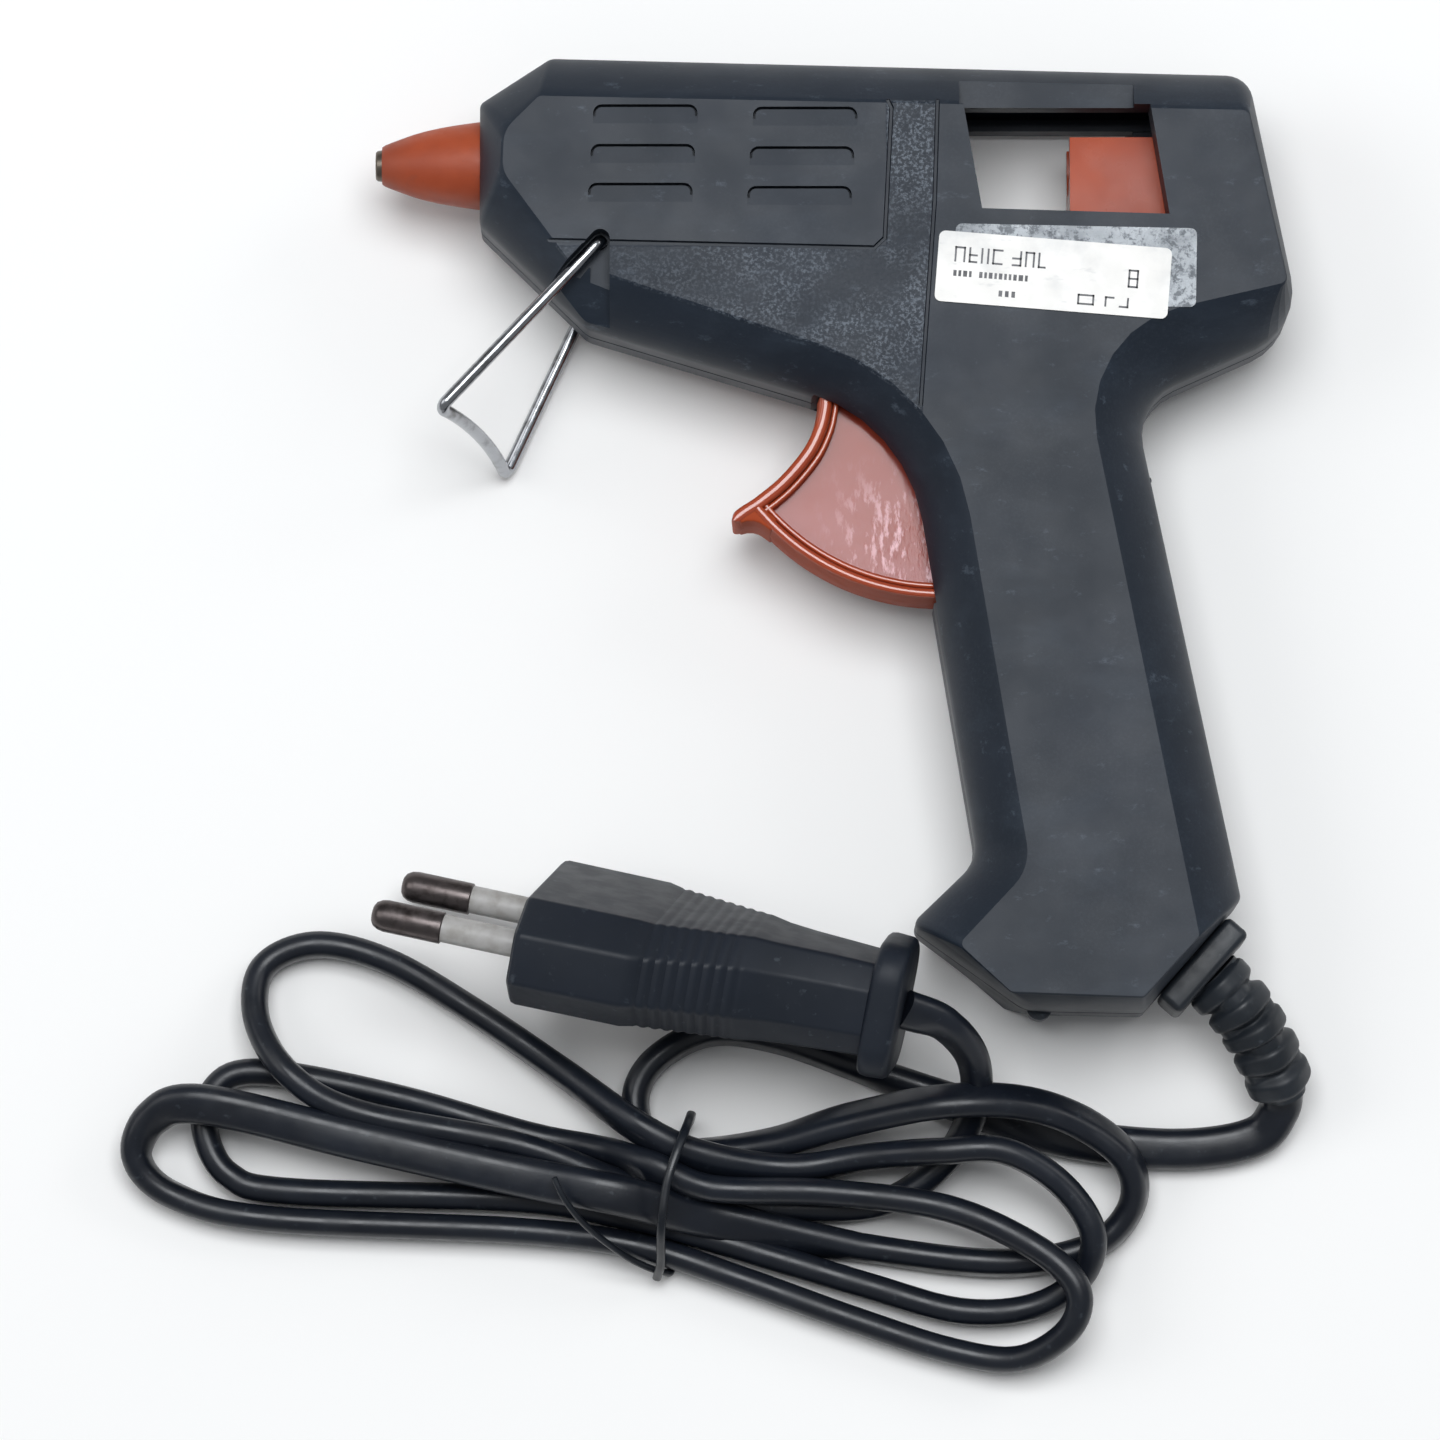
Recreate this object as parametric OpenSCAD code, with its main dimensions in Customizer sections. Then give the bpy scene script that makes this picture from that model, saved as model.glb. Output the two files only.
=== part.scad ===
// Small hot-melt glue gun for 7 mm sticks, lying on its right side, with its mains cord.
// X runs from the nozzle (-X) to the stick inlet (+X), Y up the grip to the barrel, Z up from the table.

/* [Housing] */
// Thickness of the two shells together
body_t = 26; // [25.6:0.1:26.4]
// Wall of the shells
wall = 2; // [1.8:0.1:2.2]
// Height of the straight side wall on each side of the parting plane
straight_h = 5; // [4.5:0.1:5.5]
// Power of the curve that rolls the side wall into the flat side face
bevel_power = 1.8; // [1.4:0.1:2.4]

/* [Barrel] */
// Height of the glue stick's axis in the part frame
stick_y = 47.5; // [47.3:0.1:47.7]
// Radius of the bores that guide the glue stick
stick_bore_r = 3.9; // [3.7:0.05:4]
// Orifice radius of the nozzle tip
orifice_r = 0.9; // [0.6:0.1:1.2]
// Outer radius of the silicone nozzle sleeve at its base
sleeve_r = 5.6; // [5.5:0.05:5.7]

/* [Trigger] */
// Full pull of the trigger in degrees
pull_deg = 22; // [18:1:22]
// Forward travel of the carriage at full pull
feed_travel = 10; // [8:0.5:10]
// Outer radius of the trigger about its hinge
trigger_r = 30.1; // [29.6:0.1:30.3]
// Width of the trigger blade
trigger_w = 12; // [10:0.5:12]

/* [Stand and cord] */
// Wire radius of the folding stand
wire_r = 0.8; // [0.7:0.05:0.85]
// Radius of the cord's plain tube
cord_r = 1.7; // [1.5:0.1:1.8]
// Distance between the two plug pins
pin_pitch = 18.6; // [17.5:0.1:19]

/* [Hidden] */
$fn = 48;

mid_z = body_t / 2;
housing_color = "#3d4750";
orange = "#c4643c";
steel = "#c9ccd0";
cord_color = "#2b323b";

// Corners of the housing at the parting plane: x, y and the corner's radius, anticlockwise.
side_corners = [
  [-44.1, 39.0, 1.5], [-30.6, 25.8, 3], [8.9, 13.9, 20], [18.0, -40.8, 5], [9.6, -48.9, 1.2],
  [24.0, -59.2, 5], [38.6, -59.5, 1], [50.7, -45.7, 1.5], [37.7, 16.5, 7], [58.7, 25.9, 8],
  [52.2, 58.0, 3.5], [-35.2, 60.2, 2], [-44.1, 54.4, 1]
];
// The same corners on the flat side face.
face_corners = [
  [-41.2, 44.6, 4], [-32.8, 33.2, 1], [14.2, 17.4, 27], [24.2, -42.4, 6], [15.3, -51.9, 1],
  [21.8, -57.9, 1], [38.2, -58.5, 0.8], [45.2, -50.9, 0.8], [30.2, 24.4, 14], [56.6, 30.5, 1],
  [51.8, 52.4, 1], [-36.6, 54.2, 1], [-41.0, 49.8, 4]
];

window = [[16.3, 53.1], [18.6, 39.9], [41.9, 39.2], [39.6, 53.1]];
hinge = [13.4, 21.9];
trunnion = [33.2, 35.2];
stand_pivot = [-28.9, 36.1];
stand_near = -133.3;
stand_far = -115;
stand_swing = 43;
leg_len = 29;
stand_z = 1.5;
recess_z = 3.1;
screw_spots = [[-14, 32], [47.5, 32], [36.5, -28]];
spring_post = [37.5, 29.5];
spring_eye = [21, 28.3];
chamfer_mid = [44.65, -52.6, mid_z];
chamfer_angle = atan2(-0.66, 0.752);
plug_at = [-36.9, -49.5, 17.9];
plug_turn = [-18, 6, 167.4];
plug_len = 47;

// Route of the free cord, from the strain relief through three right and three left loops to the plug.
cord_route = [
  [56.5, -68.5, 6.5], [56, -71, 4.5], [53.5, -74, 3], [47, -75.5, 2.7], [38.5, -75.5, 2.7],
  [28.5, -74, 2.7], [16, -70, 2.7], [3.5, -65.5, 2.7], [-6.5, -62, 2.7], [-15, -61, 2.7],
  [-21.5, -64, 2.7], [-24.5, -68.5, 2.7], [-23.5, -73.5, 2.7], [-18.5, -76, 2.7],
  [-7.5, -75, 4.5], [2, -72.5, 9], [13.5, -70.5, 13.5], [23.5, -70.5, 12], [31.5, -73, 9],
  [37, -77.5, 7], [37.5, -83, 4], [32.5, -88, 2.7], [21, -90, 2.7], [3.5, -88, 2.7], [-15.5, -84.5, 5.5],
  [-26.5, -82, 11], [-39, -79.5, 9.5], [-59, -75, 8.5], [-78.5, -70.5, 8.5], [-85, -72, 6],
  [-87, -77, 4], [-82.5, -81.5, 2.7], [-70.5, -84.5, 2.7], [-39, -86, 2.7], [-24, -88, 2.7],
  [-11.5, -92, 2.7], [2.5, -97, 2.7], [15, -101, 2.7], [23.5, -102, 4], [29.5, -98.5, 7.5],
  [30.5, -93.5, 9.5], [25.5, -88.5, 9], [14.5, -83.5, 8.5], [-0.5, -81.5, 8.5], [-15, -81, 8.5],
  [-22.5, -78.5, 8.8], [-29, -76, 4.4], [-38, -74, 2.7], [-55.5, -69, 2.7], [-72.5, -66, 2.7],
  [-78, -69, 2.7], [-78.5, -74, 2.7], [-75.5, -79, 2.7], [-68, -81, 2.7], [-39, -82, 2.7],
  [-26.5, -84, 2.7], [-16.5, -86.5, 2.7], [-6.5, -89.5, 2.7], [5, -93, 2.7], [16, -96, 2.7],
  [25, -95.5, 2.7], [31, -92, 4.5], [32.5, -86.5, 8], [28.5, -80.5, 9.5], [21.5, -76.5, 11],
  [13.5, -76.5, 11], [4.5, -77, 8], [-5.5, -78.5, 7], [-16.5, -77, 8.5], [-24, -73.5, 9],
  [-34, -66, 5], [-45.5, -58, 3], [-56, -52, 2.7], [-65, -50, 2.7], [-71.5, -53, 2.7], [-72, -60, 5],
  [-67.5, -67, 8], [-59, -71.5, 7.5], [-39, -75.5, 7.5], [-26.5, -80, 6], [-16.5, -82, 2.9],
  [-4, -83, 2.7], [6, -82.5, 2.7], [13.5, -78, 4.5], [17.5, -71.5, 8.2], [17.5, -65.5, 14],
  [14, -61.5, 20]
];
cord_end = plug_at + turned([-plug_len, 0, 0], plug_turn);
cord_points = concat(cord_route, [cord_end]);

// Helpers ------------------------------------------------------------------------------------

function xy(p) = [p.x, p.y];
function unit(v) = v / norm(v);
function polar(a, r) = r * [cos(a), sin(a)];
function wrap(list, i) = list[(i + len(list)) % len(list)];
function mix(a, b, t) = a * (1 - t) + b * t;

// A vector turned about X, then Y, then Z.
function turned(v, r) =
  let (a = [v.x, v.y * cos(r.x) - v.z * sin(r.x), v.y * sin(r.x) + v.z * cos(r.x)],
       b = [a.x * cos(r.y) + a.z * sin(r.y), a.y, -a.x * sin(r.y) + a.z * cos(r.y)])
    [b.x * cos(r.z) - b.y * sin(r.z), b.x * sin(r.z) + b.y * cos(r.z), b.z];

// The arc that rounds corner q between its neighbours p and n.
function corner_arc(p, q, n, r, steps) =
  let (a = unit(p - q),
       b = unit(n - q),
       half = acos(a * b) / 2,
       c = q + unit(a + b) * r / sin(half),
       s = q + a * r / tan(half) - c,
       e = q + b * r / tan(half) - c,
       a0 = atan2(s.y, s.x),
       sweep = (atan2(e.y, e.x) - a0 + 540) % 360 - 180)
    [for (i = [0:steps]) c + polar(a0 + sweep * i / steps, r)];

function rounded(corners, steps) =
  [for (i = [0:len(corners) - 1])
    each corner_arc(xy(wrap(corners, i - 1)), xy(corners[i]), xy(wrap(corners, i + 1)), corners[i].z, steps)];

// Corners moved inwards by d, with their radii kept concentric.
function inset(corners, d) =
  [for (i = [0:len(corners) - 1])
    let (p = xy(wrap(corners, i - 1)),
         q = xy(corners[i]),
         n = xy(wrap(corners, i + 1)),
         u = unit(q - p),
         v = unit(n - q),
         nu = [-u.y, u.x],
         nv = [-v.y, v.x],
         at = q + (nu + nv) * d / (1 + nu * nv),
         convex = u.x * v.y - u.y * v.x > 0)
      [at.x, at.y, convex ? max(corners[i].z - d, 0.5) : corners[i].z + d]];

// A solid through rings of points, each ring a list of 3D points in the same order.
module loft(rings) {
  n = len(rings[0]);
  m = len(rings);
  sides = [for (k = [0:m - 2], i = [0:n - 1])
    let (a = k * n + i,
         b = k * n + (i + 1) % n)
      each [[a, a + n, b + n], [a, b + n, b]]];
  bottom = [for (i = [0:n - 1]) i];
  top = [for (i = [n - 1:-1:0]) (m - 1) * n + i];
  polyhedron(points = [for (r = rings) each r], faces = concat(sides, [bottom, top]), convexity = 10);
}

// Tangent of a route at point i; the two ends may be given.
function tangent(pts, i, first, last) =
  i == 0 && first != undef ? first :
  i == len(pts) - 1 && last != undef ? last :
  unit(pts[min(i + 1, len(pts) - 1)] - pts[max(i - 1, 0)]);

// A round tube along a route, with one radius per point, carried along without twisting.
module tube(pts, radii, sides = 8, first = undef, last = undef) {
  n = len(pts);
  t = [for (i = [0:n - 1]) tangent(pts, i, first, last)];
  start = unit(cross(t[0], abs(t[0].z) > 0.9 ? [1, 0, 0] : [0, 0, 1]));
  side = [for (i = 0, s = start; i < n; i = i + 1, s = i < n ? unit(s - (s * t[i]) * t[i]) : s) s];
  loft([for (i = [0:n - 1])
    let (up = cross(t[i], side[i]))
      [for (k = [0:sides - 1])
        pts[i] + radii[i] * (cos(360 * k / sides) * side[i] + sin(360 * k / sides) * up)]]);
}

// A route with its inner corners rounded to radius r.
function eased(pts, r, steps = 3) =
  [pts[0],
   for (i = [1:len(pts) - 2])
     let (a = unit(pts[i - 1] - pts[i]),
          b = unit(pts[i + 1] - pts[i]),
          half = acos(a * b) / 2,
          c = pts[i] + unit(a + b) * r / sin(half),
          s = pts[i] + a * r / tan(half) - c,
          e = pts[i] + b * r / tan(half) - c)
       each [for (k = [0:steps]) c + r * unit(mix(s, e, k / steps))],
   pts[len(pts) - 1]];

// A cylinder along X, from x0 to x1, on the glue stick's axis.
module on_axis(x0, x1, r, r_end = undef) {
  translate([x0, stick_y, mid_z])
    rotate([0, 90, 0])
      cylinder(h = x1 - x0, r1 = r, r2 = r_end == undef ? r : r_end);
}

module box(lo, hi) {
  translate(lo) cube(hi - lo);
}

// Things made on the near side are mirrored to the far side.
module far_side() {
  translate([0, 0, body_t]) mirror([0, 0, 1]) children();
}

// Housing ------------------------------------------------------------------------------------

bevel_h = mid_z - straight_h;
spare = 0.5;
recess_backing = [[-40.6, 40.6], [-31.6, 31], [-20, 26.9], [-19, 36], [-24, 42.5], [-37, 42.5]];
recess_root = [[-36.4, 40.4], [-31.9, 33.6], [-20, 29.8], [-18.6, 36], [-23.6, 41.6], [-34.4, 41.6]];

function shell_ring(side, face, f, z) = [for (p = rounded(mix(side, face, f), 4)) [p.x, p.y, z]];

// The wall of one half of the case, a little past the parting plane and the side face: from the inner
// ceiling down to the rim and up again outside.
module cup() {
  side = inset(side_corners, wall);
  face = inset(face_corners, 0.6 * wall);
  low = mid_z + straight_h - 0.4 * wall;
  high = body_t - wall;
  steps = [0, 0.25, 0.5, 0.75, 1.06];
  inner = [for (i = [4:-1:0])
    shell_ring(side, face, pow(steps[i], bevel_power), low + steps[i] * (high - low))];
  outer = [for (h = steps)
    shell_ring(side_corners, face_corners, pow(h, bevel_power), mid_z + straight_h + h * bevel_h)];
  rim = [shell_ring(side, face, 0, mid_z - spare), shell_ring(side_corners, face_corners, 0, mid_z - spare)];
  loft(concat(inner, rim, outer));
}

module ceiling() {
  translate([0, 0, body_t - wall]) linear_extrude(wall / 2) polygon(rounded(inset(face_corners, 0.2 * wall), 4));
}

// Ribs, bosses, rails and cradles that stand on the inside of the side face.
module inner_works() {
  foot = mid_z - spare;
  for (s = screw_spots)
    translate([s.x, s.y, foot]) cylinder(h = 12, r = 3);
  translate([hinge.x, hinge.y, 22]) cylinder(h = 3, r = 3.4);
  translate([spring_post.x, spring_post.y, foot]) cylinder(h = 12, r = 1.2);
  cradle(-38.9, -37.6, 5.3, [40.5, 53.4], [36.5, 57.4]);
  cradle(-10.5, -9.2, 6.1, [38.6, 52.9], [36, 58.4]);
  cradle(48.6, 50, 5.65, [38, 52.2], [32, 57]);
  box([37.8, 33.4, foot], [47.3, 36.8, 25]);
  box([42.2, 43, 19.2], [47.3, 52, 25]);
  // rib under the saddle, above the window
  box([14, 53.1, 19.6], [42, 54.6, 23.4]);
  // backing of the stand's recess
  translate([0, 0, 21.2]) linear_extrude(2.4) polygon(recess_backing);
  translate([0, 0, 21.2]) linear_extrude(3.8) polygon(recess_root);
}

// A cross rib with a round seat for something on the glue stick's axis.
module cradle(x0, x1, r, tall, low) {
  difference() {
    union() {
      box([x0, tall[0], mid_z - spare], [x1, tall[1], 25]);
      box([x0, low[0], mid_z - spare], [x1, low[1], 19]);
    }
    on_axis(x0 - 1, x1 + 1, r);
  }
}

// The fan that the stand's leg sweeps, cut into the side face.
module leg_fan(angle) {
  gap = wire_r + 0.4;
  reach = 15;
  a0 = angle;
  a1 = angle + stand_swing;
  back = [for (i = [0:12]) polar(a1 + 90 + i * (180 - stand_swing) / 12, gap)];
  translate([stand_pivot.x, stand_pivot.y, body_t - recess_z])
    linear_extrude(recess_z + 1)
      polygon(concat(back, [polar(a0 - 90, gap) + polar(a0, reach), polar((a0 + a1) / 2, reach + 1),
                            polar(a1 + 90, gap) + polar(a1, reach)]));
}

module groove(p, q, depth = 0.4) {
  d = q - p;
  translate([p.x, p.y, body_t - depth])
    rotate([0, 0, atan2(d.y, d.x)])
      translate([0, -0.2, 0]) cube([norm(d), 0.4, 1]);
}

module louvre(x, y) {
  box([x, y - 0.7, body_t - wall - 1], [x + 13, y, body_t + 1]);
  box([x, y - 2.4, body_t - 0.4], [x + 13, y, body_t + 1]);
}

module side_openings() {
  on_axis(-50, -40, sleeve_r + 0.1);
  on_axis(50.5, 60, 5.65);
  translate([0, 0, mid_z - 1]) linear_extrude(mid_z + 2) polygon(window);
  translate([hinge.x, hinge.y, mid_z - 1]) cylinder(h = mid_z - 0.5, r = 1.54);
  translate([stand_pivot.x, stand_pivot.y, mid_z]) cylinder(h = mid_z, r = wire_r + 0.07);
  // gap for the trigger blade
  translate([hinge.x, hinge.y, mid_z - 1])
    linear_extrude(trigger_w / 2 + 1.4)
      polygon(concat([[0, 0]], [for (i = [0:10]) polar(196 + 7.8 * i, trigger_r + 0.5)]));
  // flat saddle over the window
  box([15.8, 52.5, 22.5], [37.5, 62, 30]);
  // exit of the strain relief
  translate(chamfer_mid) rotate([0, 0, chamfer_angle]) rotate([0, 90, 0]) cylinder(h = 12, r = 3.2, center = true);
  // outline of the louvred cover and the step before the smooth rear half
  groove([-36.2, 35.9], [6.4, 34.9]);
  groove([6.4, 34.9], [7.4, 53.6]);
  groove([13.1, 53.1], [12.7, 40.9]);
  groove([12.7, 40.9], [10.9, 15.6]);
  for (x = [-30, -10], y = [42.8, 47.7, 52.6])
    louvre(x + (y - 42.8) * 0.03, y);
}

module half_shell(leg_angle) {
  difference() {
    intersection() {
      union() {
        cup();
        ceiling();
        inner_works();
      }
      box([-80, -80, mid_z], [80, 80, body_t]);
    }
    side_openings();
    leg_fan(leg_angle);
  }
}

module left_housing() {
  color(housing_color) {
    difference() {
      half_shell(stand_near);
      for (s = screw_spots)
        translate([s.x, s.y, mid_z - 1]) cylinder(h = 9, r = 1.25);
    }
    // detent rib between the two seats of the stand
    translate([stand_pivot.x, stand_pivot.y, body_t - recess_z - 0.2])
      rotate([0, 0, stand_near + stand_swing / 2])
        translate([2.6, -0.3, 0]) cube([2, 0.6, 0.8]);
  }
}

module right_housing() {
  color(housing_color)
    difference() {
      union() {
        far_side() half_shell(stand_far);
        for (s = screw_spots)
          translate([s.x, s.y, 1]) cylinder(h = 7, r = 4.2);
        // locating nub at the foot of the grip
        translate([25.8, -58.6, 9]) cylinder(h = 3, r = 1.6);
      }
      for (s = screw_spots) {
        translate([s.x, s.y, -1]) cylinder(h = 6, r = 2.9);
        translate([s.x, s.y, -1]) cylinder(h = mid_z + 2, r = 1.5);
      }
    }
}

// A pan-head screw driven up from the right side.
module housing_screw(i) {
  s = screw_spots[i];
  color(steel)
    difference() {
      union() {
        translate([s.x, s.y, 3]) cylinder(h = 2, r = 2.6);
        translate([s.x, s.y, 4.9]) cylinder(h = 14, r = 1.2);
      }
      box([s.x - 1.6, s.y - 0.3, 2], [s.x + 1.6, s.y + 0.3, 4]);
      box([s.x - 0.3, s.y - 1.6, 2], [s.x + 0.3, s.y + 1.6, 4]);
    }
}

module housing_screw_nose() { housing_screw(0); }
module housing_screw_heel() { housing_screw(1); }
module housing_screw_grip() { housing_screw(2); }

// Heating and feed ---------------------------------------------------------------------------

// A turned part: profile points are x along the stick's axis and radius.
module turned_part(profile) {
  translate([0, stick_y, mid_z])
    rotate([0, 90, 0])
      rotate_extrude() polygon([for (p = profile) [p.y, p.x]]);
}

module nozzle_sleeve() {
  color(orange)
    turned_part([[-56.5, 2.06], [-56.5, 2.35], [-54.3, 3.2], [-52.4, 4.2], [-50.5, 4.9], [-47.5, 5.4],
                 [-44.1, sleeve_r], [-41.9, sleeve_r], [-41.9, 5.9], [-41.2, 5.9], [-41.2, 4.3],
                 [-46.5, 4.3], [-46.5, 3.6], [-52, 2.6]]);
}

module nozzle_tip() {
  color("#8d8578")
    turned_part([[-57.3, orifice_r], [-57.3, 1.7], [-57.1, 1.9], [-56.5, 2.0], [-52, 2.55], [-46.6, 3.5],
                 [-46.6, 2.85], [-43, 2.85], [-43, orifice_r]]);
}

module nose_ring() {
  color("#b9a98c")
    turned_part([[-40.9, 5.25], [-40.9, 6.4], [-39.1, 6.4], [-39.1, 5.25]]);
}

module melt_chamber() {
  color("#a9adb0")
    difference() {
      union() {
        on_axis(-46.5, -41, 4.25);
        on_axis(-41, -16, 5.2);
        on_axis(-16, -11, 4.6);
        box([-36, 39.4, 8], [-20, 44, 18]);
      }
      on_axis(-47, -43, 2.9);
      on_axis(-43.1, -40, 1, stick_bore_r - 0.1);
      on_axis(-40.1, -10, stick_bore_r - 0.1);
    }
}

module ptc_heater() {
  color("#d8d4c8") box([-34, 36.8, 9.5], [-22, 39, 16.5]);
}

module electrode(y0) {
  color("#b87333") box([-34, y0, 10], [-20, y0 + 0.4, 16]);
}

module electrode_upper() { electrode(39); }
module electrode_lower() { electrode(36.4); }

module heater_clip() {
  color(steel)
    translate([-33, stick_y, mid_z])
      rotate([0, 90, 0])
        linear_extrude(10)
          difference() {
            union() {
              circle(r = 5.8);
              translate([-5.8, -11.7]) square([11.6, 11.7]);
            }
            circle(r = 5.25);
            translate([-5.25, -11.1]) square([10.5, 11.1]);
          }
}

module inlet_sleeve() {
  color("#c9c4b8")
    difference() {
      on_axis(-16, 0, 6);
      on_axis(-16.1, -11, 4.65);
      on_axis(-11.1, 0.1, stick_bore_r - 0.1);
    }
}

module sleeve_clamp() {
  color(steel)
    turned_part([[-14.5, 6.02], [-14.5, 6.5], [-12.5, 6.5], [-12.5, 6.02]]);
}

module stick_guide() {
  color(orange)
    difference() {
      union() {
        on_axis(48.6, 53, 5.6);
        on_axis(50.1, 50.9, 6.3);
      }
      on_axis(48, 55, stick_bore_r);
    }
}

module stick_carriage() {
  color(orange)
    difference() {
      union() {
        box([29.8, 37, 7], [41.1, 50.1, 19]);
        box([30, 33, 7], [36.6, 37.1, 19]);
        box([41, 37, 7], [47, 53.2, 19]);
        translate([trunnion.x, trunnion.y, 4.4]) cylinder(h = body_t - 8.8, r = 1.5);
      }
      on_axis(29, 48, stick_bore_r);
      box([29, stick_y, mid_z - stick_bore_r], [41, 51, mid_z + stick_bore_r]);
      box([35.5, 36, 10.5], [43.8, 46, 15.5]);
      translate([41.5, 40, 7.9]) cylinder(h = 10.2, r = 0.77);
    }
}

module carriage_jaw() {
  color(steel)
    difference() {
      translate([0, 0, 10.7])
        linear_extrude(4.6)
          polygon([[36.2, 42.9], [37.0, 43.5], [38.6, 43.3], [43.2, 41.6], [43.2, 38.4], [40.2, 38.2],
                   [36.2, 40.6]]);
      translate([41.5, 40, 10]) cylinder(h = 6, r = 0.8);
    }
}

module jaw_pin() {
  color(steel) translate([41.5, 40, 8]) cylinder(h = 10, r = 0.75);
}

// Trigger ------------------------------------------------------------------------------------

finger_centre = [-32.7, 30.2];
finger_r = 34;

// The blade seen from the side: finger edge, beak, bottom arc and the edge hidden in the grip.
function blade(skin) =
  let (low = trigger_r - skin)
    concat([for (i = [0:6]) finger_centre + polar(-21.5 - i * (skin == 0 ? 4.6 : 4), finger_r + skin)],
           skin == 0 ? [for (a = [135:25:285]) [-11.2, 2.9] + polar(a, 1.4)] : [],
           [for (i = [0:8]) hinge + polar(225 + i * (51 - 2.2 * skin) / 8, low)],
           [hinge + [4.6 - skin, -4 - skin], hinge + [-2, -2.6 - 1.4 * skin]]);

// Centre of the carriage trunnion in the trigger's own frame, at a pull of a degrees.
function slot_point(a) =
  let (p = trunnion - hinge - [feed_travel * a / pull_deg, 0])
    [p.x * cos(a) + p.y * sin(a), -p.x * sin(a) + p.y * cos(a)];

function slot_outline(r) =
  let (steps = 6,
       c = [for (i = [0:steps]) slot_point(pull_deg * i / steps)],
       along = [for (i = [0:steps]) unit(c[min(i + 1, steps)] - c[max(i - 1, 0)])],
       start = atan2(along[0].y, along[0].x),
       finish = atan2(along[steps].y, along[steps].x))
    concat([for (i = [0:steps]) c[i] + r * [along[i].y, -along[i].x]],
           [for (a = [-75:15:75]) c[steps] + polar(finish + a, r)],
           [for (i = [steps:-1:0]) c[i] - r * [along[i].y, -along[i].x]],
           [for (a = [105:15:255]) c[0] + polar(start + a, r)]);

// A tapered arm from the hub to the trunnion, bounded by two arcs and their common tangents.
function arm_outline(r0, r1) =
  let (d = trunnion - hinge,
       lie = atan2(d.y, d.x),
       b = acos((r0 - r1) / norm(d)))
    concat([for (i = [0:16]) polar(lie + b + i * (360 - 2 * b) / 16, r0)],
           [for (i = [0:12]) d + polar(lie - b + i * 2 * b / 12, r1)]);

module fork_arm(z) {
  translate([hinge.x, hinge.y, z])
    linear_extrude(2)
      difference() {
        polygon(arm_outline(5.2, 3.6));
        polygon(slot_outline(1.65));
      }
}

module trigger() {
  color(orange)
    difference() {
      union() {
        translate([0, 0, mid_z - trigger_w / 2])
          linear_extrude(trigger_w)
            difference() {
              polygon(blade(0));
              polygon(blade(2.1));
            }
        translate([0, 0, mid_z - 3.2]) linear_extrude(6.4) polygon(blade(1));
        translate([hinge.x, hinge.y, 4.6]) cylinder(h = body_t - 9.2, r = 4.6);
        fork_arm(4.6);
        fork_arm(body_t - 6.6);
        translate([spring_eye.x, spring_eye.y, 5]) cylinder(h = body_t - 10, r = 1.1);
      }
      translate([hinge.x, hinge.y, 0]) cylinder(h = body_t, r = 1.56);
    }
}

module trigger_pin() {
  color(steel) translate([hinge.x, hinge.y, 1.6]) cylinder(h = body_t - 3.2, r = 1.5);
}

// An extension spring between the fork and the post in the grip, hooked at both ends.
module return_spring() {
  turns = 9;
  per_turn = 8;
  coil_r = 1.7;
  eye = [spring_eye.x, spring_eye.y, mid_z];
  post = [spring_post.x, spring_post.y, mid_z];
  axis = unit(post - eye);
  side = [-axis.y, axis.x, 0];
  start = eye + 2.8 * axis;
  finish = post - 2.8 * axis;
  count = turns * per_turn;
  coils = [for (i = [0:count])
    mix(start, finish, i / count)
      + coil_r * (cos(360 * i / per_turn) * side + [0, 0, sin(360 * i / per_turn)])];
  eye_hook = [for (a = [300:-30:30]) eye + [1.75 * cos(a), 1.75 * sin(a), 0]];
  post_hook = [for (a = [150:-30:-120]) post + [1.85 * cos(a), 1.85 * sin(a), 0]];
  wire = concat(eye_hook, coils, post_hook);
  color(steel) tube(wire, [for (p = wire) 0.3], sides = 6);
}

// Stand --------------------------------------------------------------------------------------

module wire_stand() {
  near_z = body_t - stand_z;
  top = [stand_pivot.x, stand_pivot.y, 0];
  near_foot = top + [leg_len * cos(stand_near), leg_len * sin(stand_near), near_z];
  far_foot = top + [leg_len * cos(stand_far), leg_len * sin(stand_far), stand_z];
  belly = mix(near_foot, far_foot, 0.5) + [0.6, 0.7, 0];
  route = eased([top + [0, 0, near_z - 4.5], top + [0, 0, near_z], near_foot, belly, far_foot,
                 top + [0, 0, stand_z], top + [0, 0, stand_z + 4.5]], 1.3, 4);
  color(steel) tube(route, [for (p = route) wire_r], sides = 12);
}

// Labels -------------------------------------------------------------------------------------

module sticker(centre, size, angle, z0, z1) {
  translate([centre.x, centre.y, z0])
    rotate([0, 0, angle])
      linear_extrude(z1 - z0)
        union() {
          square(size - [1.6, 0], center = true);
          square(size - [0, 1.6], center = true);
          for (x = [-1, 1], y = [-1, 1])
            translate([x * (size.x / 2 - 0.8), y * (size.y / 2 - 0.8)]) circle(r = 0.8);
        }
}

module silver_plate(z0, z1) {
  sticker([30.2, 32.7], [30, 9.9], -1.2, z0, z1);
}

module silver_label() {
  color("#b8bcc2") silver_plate(body_t, body_t + 0.12);
}

module rating_label() {
  color("#e6e6e8")
    difference() {
      sticker([27.4, 31.5], [29, 8.9], -4.6, body_t, body_t + 0.24);
      silver_plate(body_t - 1, body_t + 0.12);
    }
}

// Wiring -------------------------------------------------------------------------------------

// The near lead; the far one is its mirror image apart from its last point.
lead_route = [[41.6, -49.9, 13.9], [38, -46, 16], [32.5, -38, 19], [29, -22, 22], [26.5, 0, 22.5], [24, 15, 22.5],
              [20, 28, 22.5], [12, 33.2, 22.5], [8, 33.5, 22.5], [-3, 33.5, 22.5], [-7, 34.5, 22],
              [-11, 37.5, 20.5], [-16, 38.9, 17]];

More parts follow.
